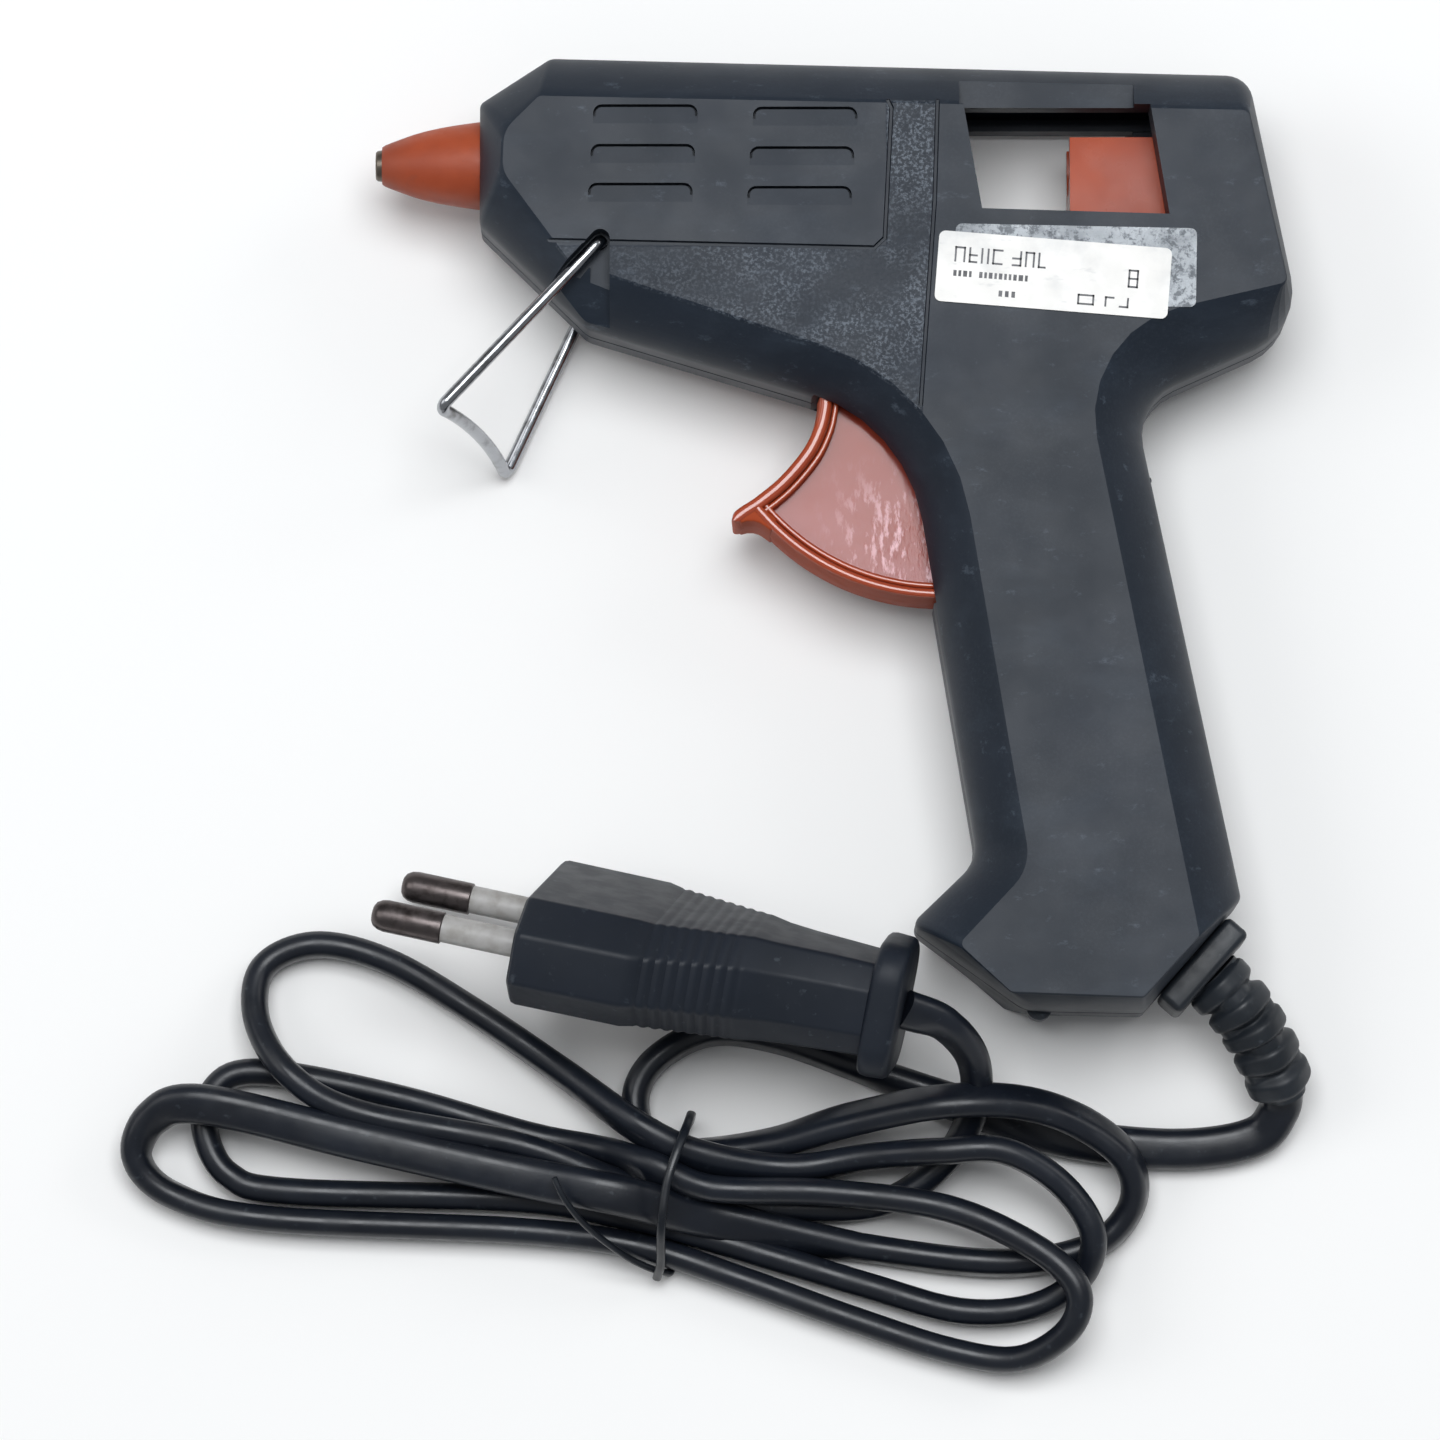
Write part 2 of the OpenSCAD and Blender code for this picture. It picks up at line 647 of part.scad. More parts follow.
module lead(last) {
  tube(concat(lead_route, [last]), [for (i = [0:len(lead_route)]) 0.8], first = unit([-1, 1, 0.5]),
       last = [-1, 0, 0]);
}

module splice() {
  translate([-1, 33.5, 22.5])
    rotate([0, 90, 0])
      difference() {
        cylinder(h = 7, r = 1.3);
        translate([0, 0, -1]) cylinder(h = 9, r = 0.85);
      }
}

module lead_live() { color("#9a5b3c") lead([-19.9, 39.2, 15]); }
module lead_neutral() { color("#3f5f8f") far_side() lead([-19.9, 36.6, 15]); }
module splice_live() { color("#d9d4c4") splice(); }
module splice_neutral() { color("#d9d4c4") far_side() splice(); }

// Cord set -----------------------------------------------------------------------------------

relief_ribs = 6;

module strain_relief() {
  out = unit([0.752, -0.66, 0]);
  stem = [chamfer_mid + 3.6 * out, [50.2, -58, 12.3], [52.6, -61.2, 11], [54.6, -64.7, 9.2], cord_points[0]];
  count = relief_ribs * 4;
  fine = [for (i = [0:count])
    let (u = i / count * (len(stem) - 1),
         k = min(floor(u), len(stem) - 2))
      mix(stem[k], stem[k + 1], u - k)];
  radii = [for (i = [0:count]) i % 4 == 1 || i % 4 == 2 ? 4.1 : 3.1];
  color(cord_color) {
    tube(fine, radii, sides = 12, first = out, last = unit(cord_points[1] - cord_points[0]));
    translate(chamfer_mid)
      rotate([0, 0, chamfer_angle])
        rotate([0, 90, 0]) {
          translate([0, 0, -2.6]) cylinder(h = 6.3, r = 3.1);
          translate([0, 0, -3.6]) cylinder(h = 1.2, r = 4.2);
        }
    translate(chamfer_mid)
      rotate([0, 0, chamfer_angle])
        box([0.1, -6.6, -5.4], [3.7, 6.6, 5.4]);
  }
}

module power_cord() {
  color(cord_color)
    tube(cord_points, [for (p = cord_points) cord_r], first = unit(cord_points[1] - cord_points[0]),
         last = unit(turned([1, 0, 0], plug_turn)));
}

// A twist tie round the seven strands of the hank, its tail crossing over its start.
module cord_tie() {
  band = [[-22.3, -73.4, 12.2], [-21.5, -72.2, 9.5], [-20.5, -72, 5], [-20, -73.5, 0.6], [-19.5, -81, 0.5],
          [-19.5, -90.5, 0.6], [-20.5, -91.6, 2.6], [-21.8, -90.2, 6], [-23.4, -86, 13], [-24.6, -81, 14.4],
          [-25.6, -76.4, 14.6], [-28, -76, 14.9], [-31.5, -78.8, 14.2], [-33.5, -82, 12.8]];
  color("#20262e") tube(band, [for (p = band) 0.45]);
}

// Plug ---------------------------------------------------------------------------------------

module at_plug() {
  translate(plug_at) rotate(plug_turn) children();
}

// Cross-section of the plug at x: half width across the pins and half thickness.
function plug_ring(x, w, t) =
  let (c = [[t, w * 0.7], [t * 0.47, w], [-t * 0.47, w], [-t, w * 0.7],
            [-t, -w * 0.7], [-t * 0.47, -w], [t * 0.47, -w], [t, -w * 0.7]])
    [for (p = c) [x, p.x, p.y]];

module plug_body() {
  ribs = [for (i = [0:9]) [-16 - 1.3 * i, 16.4 - 0.62 * i - 0.7 * (i % 2), 6.6]];
  stations = concat([[0, 17, 6.5], [-0.8, 17.6, 6.85], [-14, 17.3, 6.85]], ribs,
                    [[-30, 9.4, 6.4], [-38, 7.6, 6.2], [-43.2, 7, 6]]);
  color("#343e48")
    at_plug()
      difference() {
        union() {
          loft([for (i = [len(stations) - 1:-1:0]) plug_ring(stations[i].x, stations[i].y, stations[i].z)]);
          translate([-plug_len, 0, 0])
            rotate([90, 0, 90])
              linear_extrude(4) {
                square([16.4, 7], center = true);
                square([8.4, 15], center = true);
                for (x = [-1, 1], y = [-1, 1])
                  translate([4.2 * x, 3.5 * y]) circle(r = 4);
              }
        }
        for (s = [-1, 1])
          translate([-4, 0, s * pin_pitch / 2]) rotate([0, 90, 0]) cylinder(h = 5, r = 1.9);
      }
}

module plug_pin(s) {
  color("#8c857e")
    at_plug()
      translate([0, 0, s * pin_pitch / 2])
        rotate([0, 90, 0]) {
          translate([0, 0, -4]) cylinder(h = 15, r = 1.2);
          translate([0, 0, 10]) cylinder(h = 7.6, r = 2);
          translate([0, 0, 17.6]) cylinder(h = 1.4, r1 = 2, r2 = 0.9);
        }
}

module pin_sleeve(s) {
  color("#c4c4be")
    at_plug()
      translate([-4, 0, s * pin_pitch / 2])
        rotate([0, 90, 0])
          difference() {
            cylinder(h = 14, r = 1.75);
            translate([0, 0, -1]) cylinder(h = 16, r = 1.2);
          }
}

module plug_pin_upper() { plug_pin(1); }
module plug_pin_lower() { plug_pin(-1); }
module pin_sleeve_upper() { pin_sleeve(1); }
module pin_sleeve_lower() { pin_sleeve(-1); }

left_housing();
right_housing();
housing_screw_nose();
housing_screw_heel();
housing_screw_grip();
nozzle_sleeve();
nozzle_tip();
nose_ring();
melt_chamber();
ptc_heater();
electrode_upper();
electrode_lower();
heater_clip();
inlet_sleeve();
sleeve_clamp();
stick_guide();
stick_carriage();
carriage_jaw();
jaw_pin();
trigger();
trigger_pin();
return_spring();
wire_stand();
silver_label();
rating_label();
lead_live();
lead_neutral();
splice_live();
splice_neutral();
strain_relief();
power_cord();
cord_tie();
plug_body();
plug_pin_upper();
plug_pin_lower();
pin_sleeve_upper();
pin_sleeve_lower();
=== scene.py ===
import math
import random

import bmesh
import bpy
import numpy as np
from mathutils import Matrix, Vector


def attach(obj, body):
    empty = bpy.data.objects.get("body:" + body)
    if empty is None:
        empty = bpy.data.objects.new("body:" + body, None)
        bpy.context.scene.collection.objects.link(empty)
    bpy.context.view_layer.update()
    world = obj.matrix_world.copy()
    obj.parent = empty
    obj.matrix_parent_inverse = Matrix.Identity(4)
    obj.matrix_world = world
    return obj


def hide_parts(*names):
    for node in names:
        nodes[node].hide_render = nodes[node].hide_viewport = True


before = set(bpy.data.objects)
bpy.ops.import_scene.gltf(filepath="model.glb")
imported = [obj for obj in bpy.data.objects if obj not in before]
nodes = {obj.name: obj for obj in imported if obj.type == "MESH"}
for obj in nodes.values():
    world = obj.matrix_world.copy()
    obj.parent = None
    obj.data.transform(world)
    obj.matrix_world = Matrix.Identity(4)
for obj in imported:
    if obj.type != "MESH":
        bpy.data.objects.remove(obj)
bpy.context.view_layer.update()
scene = bpy.context.scene
MM = 0.001
random.seed(7)

# ---------------------------------------------------------------- sizes in mm and degrees, as in the CAD
FACE_Z = 26.0
PARTING_Z = 13.0
BARREL_Y = 47.5
STICK_BORE_R = 3.9
HINGE = np.array([13.4, 21.9])
TRUNNION = np.array([33.2, 35.2])
SPRING_BAR = (21, 28.3)
PULL = 22.0
TRAVEL = 10.0
BLADE_LOW, BLADE_HIGH = 7.0, 19.0
TRIGGER_R = 30.1
STAND = np.array([-28.9, 36.1])
NEAR_LEG, FAR_LEG = -133.3, -115.0
LEG = 29.0
STAND_SWING = 43.0
WIRE_R = 0.8
NEAR_LEG_Z, FAR_LEG_Z = 24.5, 1.5
CORD_WIDE, CORD_THICK = 5.2, 3.3
PIN_OFFSET = 9.3

# ---------------------------------------------------------------- camera, fitted to the photograph's view
camera_data = bpy.data.cameras.new("camera")
camera_data.sensor_width = 36.0
camera_data.lens = 220.0
camera = bpy.data.objects.new("camera", camera_data)
camera.location = (-0.014, -0.1472, 1.1059)
camera.rotation_euler = (math.radians(6.5), 0.0, 0.0)
scene.collection.objects.link(camera)
scene.camera = camera


# ---------------------------------------------------------------- helpers
def unit(v):
    v = np.asarray(v, float)
    return v / np.linalg.norm(v)


def corner_arc(p, q, n, r, steps):
    a, b = unit(p - q), unit(n - q)
    half = math.acos(float(np.clip(a @ b, -1, 1))) / 2
    c = q + unit(a + b) * r / math.sin(half)
    s, e = q + a * r / math.tan(half) - c, q + b * r / math.tan(half) - c
    a0 = math.atan2(s[1], s[0])
    sweep = (math.atan2(e[1], e[0]) - a0 + 3 * math.pi) % (2 * math.pi) - math.pi
    return [c + r * np.array([math.cos(a0 + sweep * i / steps), math.sin(a0 + sweep * i / steps)])
            for i in range(steps + 1)]


def rounded(corners, steps=6):
    """The outline of a polygon whose corners are [x, y, radius], in mm."""
    n = len(corners)
    c = [np.array(k, float) for k in corners]
    out = []
    for i in range(n):
        out += corner_arc(c[i - 1][:2], c[i][:2], c[(i + 1) % n][:2], c[i][2], steps)
    return np.array(out)


def inset(corners, d):
    """The same corners moved d inwards, with their radii changed to match."""
    n = len(corners)
    c = [np.array(k, float) for k in corners]
    out = []
    for i in range(n):
        p, q, m = c[i - 1][:2], c[i][:2], c[(i + 1) % n][:2]
        u, v = unit(q - p), unit(m - q)
        nu, nv = np.array([-u[1], u[0]]), np.array([-v[1], v[0]])
        at = q + (nu + nv) * d / (1 + nu @ nv)
        convex = u[0] * v[1] - u[1] * v[0] > 0
        out.append([at[0], at[1], max(c[i][2] - d, 0.5) if convex else c[i][2] + d])
    return out


def mesh_object(name, points, faces, material=None, angle=30.0):
    """A mesh piece from points in mm, smooth except at edges sharper than angle degrees."""
    mesh = bpy.data.meshes.new(name)
    mesh.from_pydata([tuple(float(x) * MM for x in p) for p in points], [], faces)
    mesh.validate()
    obj = bpy.data.objects.new(name, mesh)
    scene.collection.objects.link(obj)
    if material:
        mesh.materials.append(material)
    shade(obj, angle)
    return obj


def shade(obj, angle):
    mesh = obj.data
    mesh.polygons.foreach_set("use_smooth", [True] * len(mesh.polygons))
    mesh.set_sharp_from_angle(angle=math.radians(angle))
    mesh.update()


def loft(rings, capped=True, closed=False):
    """Points and faces of a skin through rings of the same number of points."""
    n, m = len(rings[0]), len(rings)
    faces = []
    for k in range(m if closed else m - 1):
        for i in range(n):
            a, b = k * n + i, k * n + (i + 1) % n
            c, d = ((k + 1) % m) * n + (i + 1) % n, ((k + 1) % m) * n + i
            faces.append((a, b, c, d))
    if capped and not closed:
        faces.append(tuple(range(n - 1, -1, -1)))
        faces.append(tuple((m - 1) * n + i for i in range(n)))
    return [p for r in rings for p in r], faces


def flat_ring(outline, z):
    return [(p[0], p[1], z) for p in outline]


def prism(name, outline, z0, z1, material=None, angle=30.0):
    points, faces = loft([flat_ring(outline, z0), flat_ring(outline, z1)])
    return mesh_object(name, points, faces, material, angle)


def catmull(points, per):
    """A smooth curve through points, per samples to a span, and the span parameter of each sample."""
    p = np.array(points, float)
    q = np.vstack([2 * p[0] - p[1], p, 2 * p[-1] - p[-2]])
    out, at = [], []
    for i in range(1, len(q) - 2):
        a, b, c, d = q[i - 1:i + 3]
        for k in range(per):
            t = k / per
            out.append(0.5 * (2 * b + (c - a) * t + (2 * a - 5 * b + 4 * c - d) * t * t
                              + (3 * b - a - 3 * c + d) * t ** 3))
            at.append(i - 1 + t)
    out.append(p[-1])
    at.append(len(p) - 1)
    return np.array(out), np.array(at)


def eased(points, r, steps=6):
    """A polyline with its inner corners rounded to radius r."""
    p = [np.array(q, float) for q in points]
    out = [p[0]]
    for i in range(1, len(p) - 1):
        a, b = unit(p[i - 1] - p[i]), unit(p[i + 1] - p[i])
        half = math.acos(float(np.clip(a @ b, -1, 1))) / 2
        if half > 1.55:
            out.append(p[i])
            continue
        c = p[i] + unit(a + b) * r / math.sin(half)
        s, e = p[i] + a * r / math.tan(half) - c, p[i] + b * r / math.tan(half) - c
        out += [c + r * unit(s * (1 - k / steps) + e * k / steps) for k in range(steps + 1)]
    out.append(p[-1])
    return np.array(out)


def tangents(line):
    t = np.gradient(np.asarray(line, float), axis=0)
    return t / np.linalg.norm(t, axis=1)[:, None]


def carried(line, first_side=(0.0, 0.0, 1.0)):
    """Frames carried along a line without twisting: tangent, side and up at each point."""
    t = tangents(line)
    s = np.array(first_side, float)
    s = unit(s - (s @ t[0]) * t[0]) if abs(s @ t[0]) < 0.95 else unit(np.cross(t[0], (1, 0, 0)))
    sides = []
    for k in t:
        s = unit(s - (s @ k) * k)
        sides.append(s)
    sides = np.array(sides)
    return t, sides, np.cross(t, sides)


def sweep(name, line, sections, material=None, frames=None, angle=40.0, closed=False):
    """A piece swept along a line in mm. sections is one outline for all points or a list of them."""
    line = np.asarray(line, float)
    t, side, up = frames if frames else carried(line)
    rings = []
    varied = len(sections[0]) > 2
    for i, c in enumerate(line):
        sec = sections[i] if varied else sections
        rings.append([c + x * side[i] + y * up[i] for x, y in sec])
    points, faces = loft(rings, closed=closed)
    return mesh_object(name, points, faces, material, angle)


def circle(r, n=16):
    return [(r * math.cos(2 * math.pi * i / n), r * math.sin(2 * math.pi * i / n)) for i in range(n)]


def stadium(w, t, n=8):
    """A flat cord's section: w wide along the first axis, t thick, with round ends."""
    r = t / 2
    out = []
    for s in (1, -1):
        for i in range(n + 1):
            a = -math.pi / 2 + math.pi * i / n + (0 if s == 1 else math.pi)
            out.append((s * (w / 2 - r) + r * math.cos(a), r * math.sin(a)))
    return out


def revolve(name, profile, material=None, n=64, angle=35.0):
    """A turned piece about the barrel's axis; profile is [x, radius] all the way round its section."""
    turns = [2 * math.pi * k / n for k in range(n)]
    rings = [[(x, BARREL_Y + r * math.cos(a), PARTING_Z + r * math.sin(a)) for x, r in profile]
             for a in turns]
    points, faces = loft(rings, closed=True)
    return mesh_object(name, points, faces, material, angle)


def join(name, objs, angle=None):
    """One piece out of several, with the materials of all of them."""
    mesh = bpy.data.meshes.new(name)
    bm = bmesh.new()
    mats = []
    for o in objs:
        start = len(bm.faces)
        bm.from_mesh(o.data)
        bm.faces.ensure_lookup_table()
        for m in o.data.materials:
            if m not in mats:
                mats.append(m)
        if o.data.materials:
            lut = [mats.index(m) for m in o.data.materials]
            for f in bm.faces[start:]:
                f.material_index = lut[min(f.material_index, len(lut) - 1)]
    bm.to_mesh(mesh)
    bm.free()
    for m in mats:
        mesh.materials.append(m)
    out = bpy.data.objects.new(name, mesh)
    scene.collection.objects.link(out)
    for o in objs:
        bpy.data.objects.remove(o)
    if angle:
        shade(out, angle)
    return out


def apply_modifiers(obj):
    bpy.context.view_layer.update()
    e = obj.evaluated_get(bpy.context.evaluated_depsgraph_get())
    mesh = bpy.data.meshes.new_from_object(e)
    obj.modifiers.clear()
    obj.data = mesh
    return obj


def boolean(obj, cutters, op="DIFFERENCE"):
    """obj with each cutter taken away from it or added to it."""
    for c in cutters if isinstance(cutters, list) else [cutters]:
        m = obj.modifiers.new("b", "BOOLEAN")
        m.solver = "EXACT"
        m.operation = op
        m.object = c
    apply_modifiers(obj)
    for c in cutters if isinstance(cutters, list) else [cutters]:
        bpy.data.objects.remove(c)
    return obj


def bevelled(obj, width, segments=3, limit=30.0, angle=30.0):
    """obj with its edges sharper than limit rounded by width mm."""
    m = obj.modifiers.new("v", "BEVEL")
    m.width = width * MM
    m.segments = segments
    m.limit_method = "ANGLE"
    m.angle_limit = math.radians(limit)
    m.use_clamp_overlap = True
    m.miter_outer = "MITER_ARC"
    apply_modifiers(obj)
    shade(obj, angle)
    return obj


def box_piece(name, lo, hi, material=None):
    x0, y0, z0 = lo
    x1, y1, z1 = hi
    return prism(name, [(x0, y0), (x1, y0), (x1, y1), (x0, y1)], z0, z1, material)


def polar(a, r, c=(0.0, 0.0)):
    return np.array([c[0] + r * math.cos(math.radians(a)), c[1] + r * math.sin(math.radians(a))])


# ---------------------------------------------------------------- materials
class Shader:
    """A material's node tree, built in short calls. Scales are per mm."""

    def __init__(self, name):
        self.material = bpy.data.materials.new(name)
        self.material.use_nodes = True
        self.tree = self.material.node_tree
        self.bsdf = self.tree.nodes["Principled BSDF"]
        self.coords = self.add("ShaderNodeTexCoord").outputs["Object"]
        self.normal = None

    def add(self, kind, **settings):
        node = self.tree.nodes.new(kind)
        for key, value in settings.items():
            setattr(node, key, value)
        return node

    def put(self, socket, value):
        if isinstance(value, bpy.types.NodeSocket):
            self.tree.links.new(value, socket)
        elif value is not None:
            socket.default_value = value

    def set(self, **values):
        for key, value in values.items():
            self.put(self.bsdf.inputs[key.replace("_", " ")], value)
        return self

    def noise(self, per_mm, detail=3.0, rough=0.55, squash=None):
        node = self.add("ShaderNodeTexNoise")
        vector = self.coords
        if squash:
            mapping = self.add("ShaderNodeMapping")
            self.put(mapping.inputs["Vector"], vector)
            mapping.inputs["Scale"].default_value = squash
            vector = mapping.outputs[0]
        self.put(node.inputs["Vector"], vector)
        node.inputs["Scale"].default_value = per_mm / MM
        node.inputs["Detail"].default_value = detail
        node.inputs["Roughness"].default_value = rough
        return node.outputs["Fac"]

    def ramp(self, fac, low, high, a=0.0, b=1.0):
        node = self.add("ShaderNodeMapRange", interpolation_type="SMOOTHSTEP")
        self.put(node.inputs["Value"], fac)
        for key, value in zip(("From Min", "From Max", "To Min", "To Max"), (low, high, a, b)):
            node.inputs[key].default_value = value
        return node.outputs[0]

    def math(self, op, a, b=None, clamp=False):
        node = self.add("ShaderNodeMath", operation=op, use_clamp=clamp)
        self.put(node.inputs[0], a)
        if b is not None:
            self.put(node.inputs[1], b)
        return node.outputs[0]

    def mix(self, fac, a, b):
        node = self.add("ShaderNodeMix", data_type="RGBA")
        self.put(node.inputs[0], fac)
        for socket, value in ((node.inputs[6], a), (node.inputs[7], b)):
            self.put(socket, (*value, 1.0) if isinstance(value, tuple) else value)
        return node.outputs[2]

    def axis(self, index):
        node = self.add("ShaderNodeSeparateXYZ")
        self.put(node.inputs[0], self.coords)
        return node.outputs[index]

    def bump(self, height, depth_mm, strength=1.0):
        node = self.add("ShaderNodeBump")
        node.inputs["Strength"].default_value = strength
        node.inputs["Distance"].default_value = depth_mm * MM
        self.put(node.inputs["Height"], height)
        if self.normal is not None:
            self.put(node.inputs["Normal"], self.normal)
        self.normal = node.outputs[0]
        self.put(self.bsdf.inputs["Normal"], self.normal)
        return self


def rgb(r, g, b):
    """An sRGB colour of 0 to 255 as linear numbers."""
    def lin(c):
        c /= 255.0
        return c / 12.92 if c <= 0.04045 else ((c + 0.055) / 1.055) ** 2.4
    return (lin(r), lin(g), lin(b))


# in metres, as the shader reads them: the coarse band's leaning rear edge, the louvre panel, the face
BAND_X, BAND_Y, BAND_LEAN = 0.0131, 0.0531, 0.0526
PANEL_REAR, PANEL_LOW = 0.0066, 0.0349
FACE_FROM, FACE_TO = 0.0257, 0.0259


def housing_material():
    """Black-blue moulded plastic: fine spark texture, a coarser band ahead of the joint line, and painted
    highlights as small light glints, faint all over and strongest in that band.
    """
    s = Shader("housing_plastic_look")
    x, y, z = s.axis(0), s.axis(1), s.axis(2)
    edge = s.math("ADD", s.math("MULTIPLY", s.math("SUBTRACT", y, BAND_Y), BAND_LEAN), BAND_X)
    ahead = s.ramp(s.math("SUBTRACT", x, edge), -0.0001, 0.0001, 1.0, 0.0)
    off_panel = s.math("MAXIMUM", s.ramp(x, PANEL_REAR, PANEL_REAR + 0.0003),
                       s.ramp(y, PANEL_LOW, PANEL_LOW + 0.0004, 1.0, 0.0))
    on_top = s.ramp(z, FACE_FROM, FACE_TO)
    coarse = s.math("MULTIPLY", s.math("MULTIPLY", ahead, off_panel), on_top)
    # painted highlights: small light glints, faint all over, strongest in the coarse band and fewer towards
    # the nose
    glints = s.ramp(s.noise(2.3, 4.0, 0.75), 0.48, 0.6)
    patch = s.ramp(s.noise(0.09, 4.0, 0.6), 0.38, 0.62, 0.05, 1.0)
    patch = s.math("MULTIPLY", patch, s.ramp(x, -0.03, 0.002, 0.25, 1.0))
    share = s.math("ADD", s.math("MULTIPLY", coarse, 0.5), 0.02)
    glint_highlight = s.math("MULTIPLY", s.math("MULTIPLY", glints, patch), share)
    broad = s.noise(0.05, 4.0)
    smear = s.noise(0.18, 5.0, 0.6, (0.45, 1.0, 1.0))
    scuff = s.noise(0.5, 6.0, 0.75, (0.5, 0.9, 1.0))
    base = s.mix(s.ramp(broad, 0.3, 0.7), rgb(25, 33, 43), rgb(30, 38, 49))
    base = s.mix(s.ramp(smear, 0.46, 0.78, 0.0, 0.55), base, rgb(44, 53, 64))
    base = s.mix(s.ramp(scuff, 0.58, 0.74, 0.0, 0.5), base, rgb(84, 94, 106))
    # the painted glint highlights go into the base colour
    base = s.mix(glint_highlight, base, rgb(127, 136, 147))
    s.set(Base_Color=base, Roughness=s.ramp(s.noise(0.12, 4.0), 0.25, 0.75, 0.43, 0.51),
          Specular_IOR_Level=0.28)
    s.bump(s.noise(3.2, 2.0), 0.02, 0.35)
    s.bump(s.math("MULTIPLY", s.noise(1.6, 3.0, 0.7), coarse), 0.12, 0.9)
    s.bump(s.noise(0.03, 2.0), 0.25, 0.15)
    return s.material


def orange_gloss(name, base, deep, rough=0.14, spec=0.3):
    s = Shader(name)
    colour = s.mix(s.ramp(s.noise(0.06, 4.0), 0.3, 0.72), base, deep)
    colour = s.mix(s.ramp(s.noise(0.9, 3.0), 0.6, 0.75, 0.0, 0.12), colour, rgb(130, 66, 44))
    s.set(Base_Color=colour, Roughness=s.ramp(s.noise(0.25, 4.0), 0.3, 0.8, rough, rough + 0.1),
          Specular_IOR_Level=spec, Subsurface_Weight=0.08, Subsurface_Scale=0.002)
    s.bsdf.inputs["Subsurface Radius"].default_value = (1.0, 0.35, 0.2)
    s.bump(s.noise(0.12, 2.0), 0.03, 0.35)
    s.bump(s.noise(1.6, 2.0), 0.006, 0.3)
    return s.material


def web_material():
    """Thin glossy web: orange near the pin, painted pink lower down as a sheen, with flow marks near the grip
    whose light streaks are partly painted highlights.
    """
    s = Shader("trigger_web_look")
    x, y = s.axis(0), s.axis(1)
    # painted sheen: the colour turns from orange to pink lower down, standing in for the overhead light's
    # reflection on the glossy web
    base = s.mix(s.ramp(y, -0.005, 0.015), rgb(158, 86, 82), rgb(148, 58, 40))
    base = s.mix(s.ramp(s.noise(0.16, 4.0), 0.35, 0.7, 0.0, 0.6), base, rgb(150, 66, 52))
    flow = s.math("MULTIPLY", s.ramp(x, -0.003, 0.009), s.ramp(y, 0.000, 0.011, 1.0, 0.0))
    # flow marks near the grip, whose lighter streaks are partly painted highlights
    flow_mark_highlight = s.math("MULTIPLY", s.ramp(s.noise(0.9, 4.0, 0.65, (1.0, 0.35, 1.0)), 0.5, 0.64), flow)
    base = s.mix(flow_mark_highlight, base, rgb(226, 178, 184))
    s.set(Base_Color=base, Roughness=s.ramp(s.noise(0.3, 4.0), 0.3, 0.75, 0.08, 0.2),
          Specular_IOR_Level=0.3)
    s.bump(s.noise(0.1, 2.0), 0.1, 0.5)
    s.bump(s.math("MULTIPLY", s.noise(0.9, 4.0, 0.65, (1.0, 0.35, 1.0)), flow), 0.25, 0.8)
    return s.material


def silicone_material():
    s = Shader("silicone_look")
    along = s.axis(0)
    base = s.mix(s.ramp(s.noise(0.12, 4.0), 0.3, 0.7), rgb(170, 74, 38), rgb(152, 64, 34))
    base = s.mix(s.ramp(along, -0.0565, -0.0515, 0.55, 0.0), base, rgb(120, 58, 44))
    base = s.mix(s.ramp(s.noise(0.7, 5.0), 0.58, 0.72, 0.0, 0.35), base, rgb(135, 66, 48))
    s.set(Base_Color=base, Roughness=s.ramp(s.noise(0.4, 3.0), 0.3, 0.7, 0.42, 0.58), Specular_IOR_Level=0.4)
    s.bump(s.noise(2.2, 3.0), 0.02, 0.4)
    return s.material


def rubber_material(name, base, worn, rough=(0.36, 0.55), grain=2.6, spec=0.45):
    s = Shader(name)
    colour = s.mix(s.ramp(s.noise(0.09, 4.0), 0.32, 0.72), base, worn)
    colour = s.mix(s.ramp(s.noise(0.8, 4.0), 0.62, 0.78, 0.0, 0.25), colour, rgb(92, 100, 108))
    s.set(Base_Color=colour, Roughness=s.ramp(s.noise(0.3, 4.0), 0.3, 0.7, *rough), Specular_IOR_Level=spec)
    s.bump(s.noise(grain, 2.0), 0.015, 0.4)
    s.bump(s.noise(0.2, 2.0), 0.06, 0.25)
    return s.material


def metal_material(name, base, dark, rough=(0.22, 0.4), brush=None, stain=0.5):
    s = Shader(name)
    colour = s.mix(s.ramp(s.noise(0.5, 5.0), 0.45, 0.75, 0.0, stain), base, dark)
    s.set(Base_Color=colour, Metallic=1.0, Roughness=s.ramp(s.noise(0.6, 4.0), 0.3, 0.7, *rough))
    if brush:
        s.bump(s.noise(2.0, 3.0, 0.6, brush), 0.008, 0.5)
    else:
        s.bump(s.noise(1.2, 3.0), 0.006, 0.4)
    return s.material


def plain_plastic(name, base, other, rough=0.45):
    s = Shader(name)
    s.set(Base_Color=s.mix(s.ramp(s.noise(0.4, 4.0), 0.35, 0.7), base, other),
          Roughness=s.ramp(s.noise(0.8, 3.0), 0.3, 0.7, rough - 0.06, rough + 0.1))
    s.bump(s.noise(2.4, 2.0), 0.01, 0.3)
    return s.material


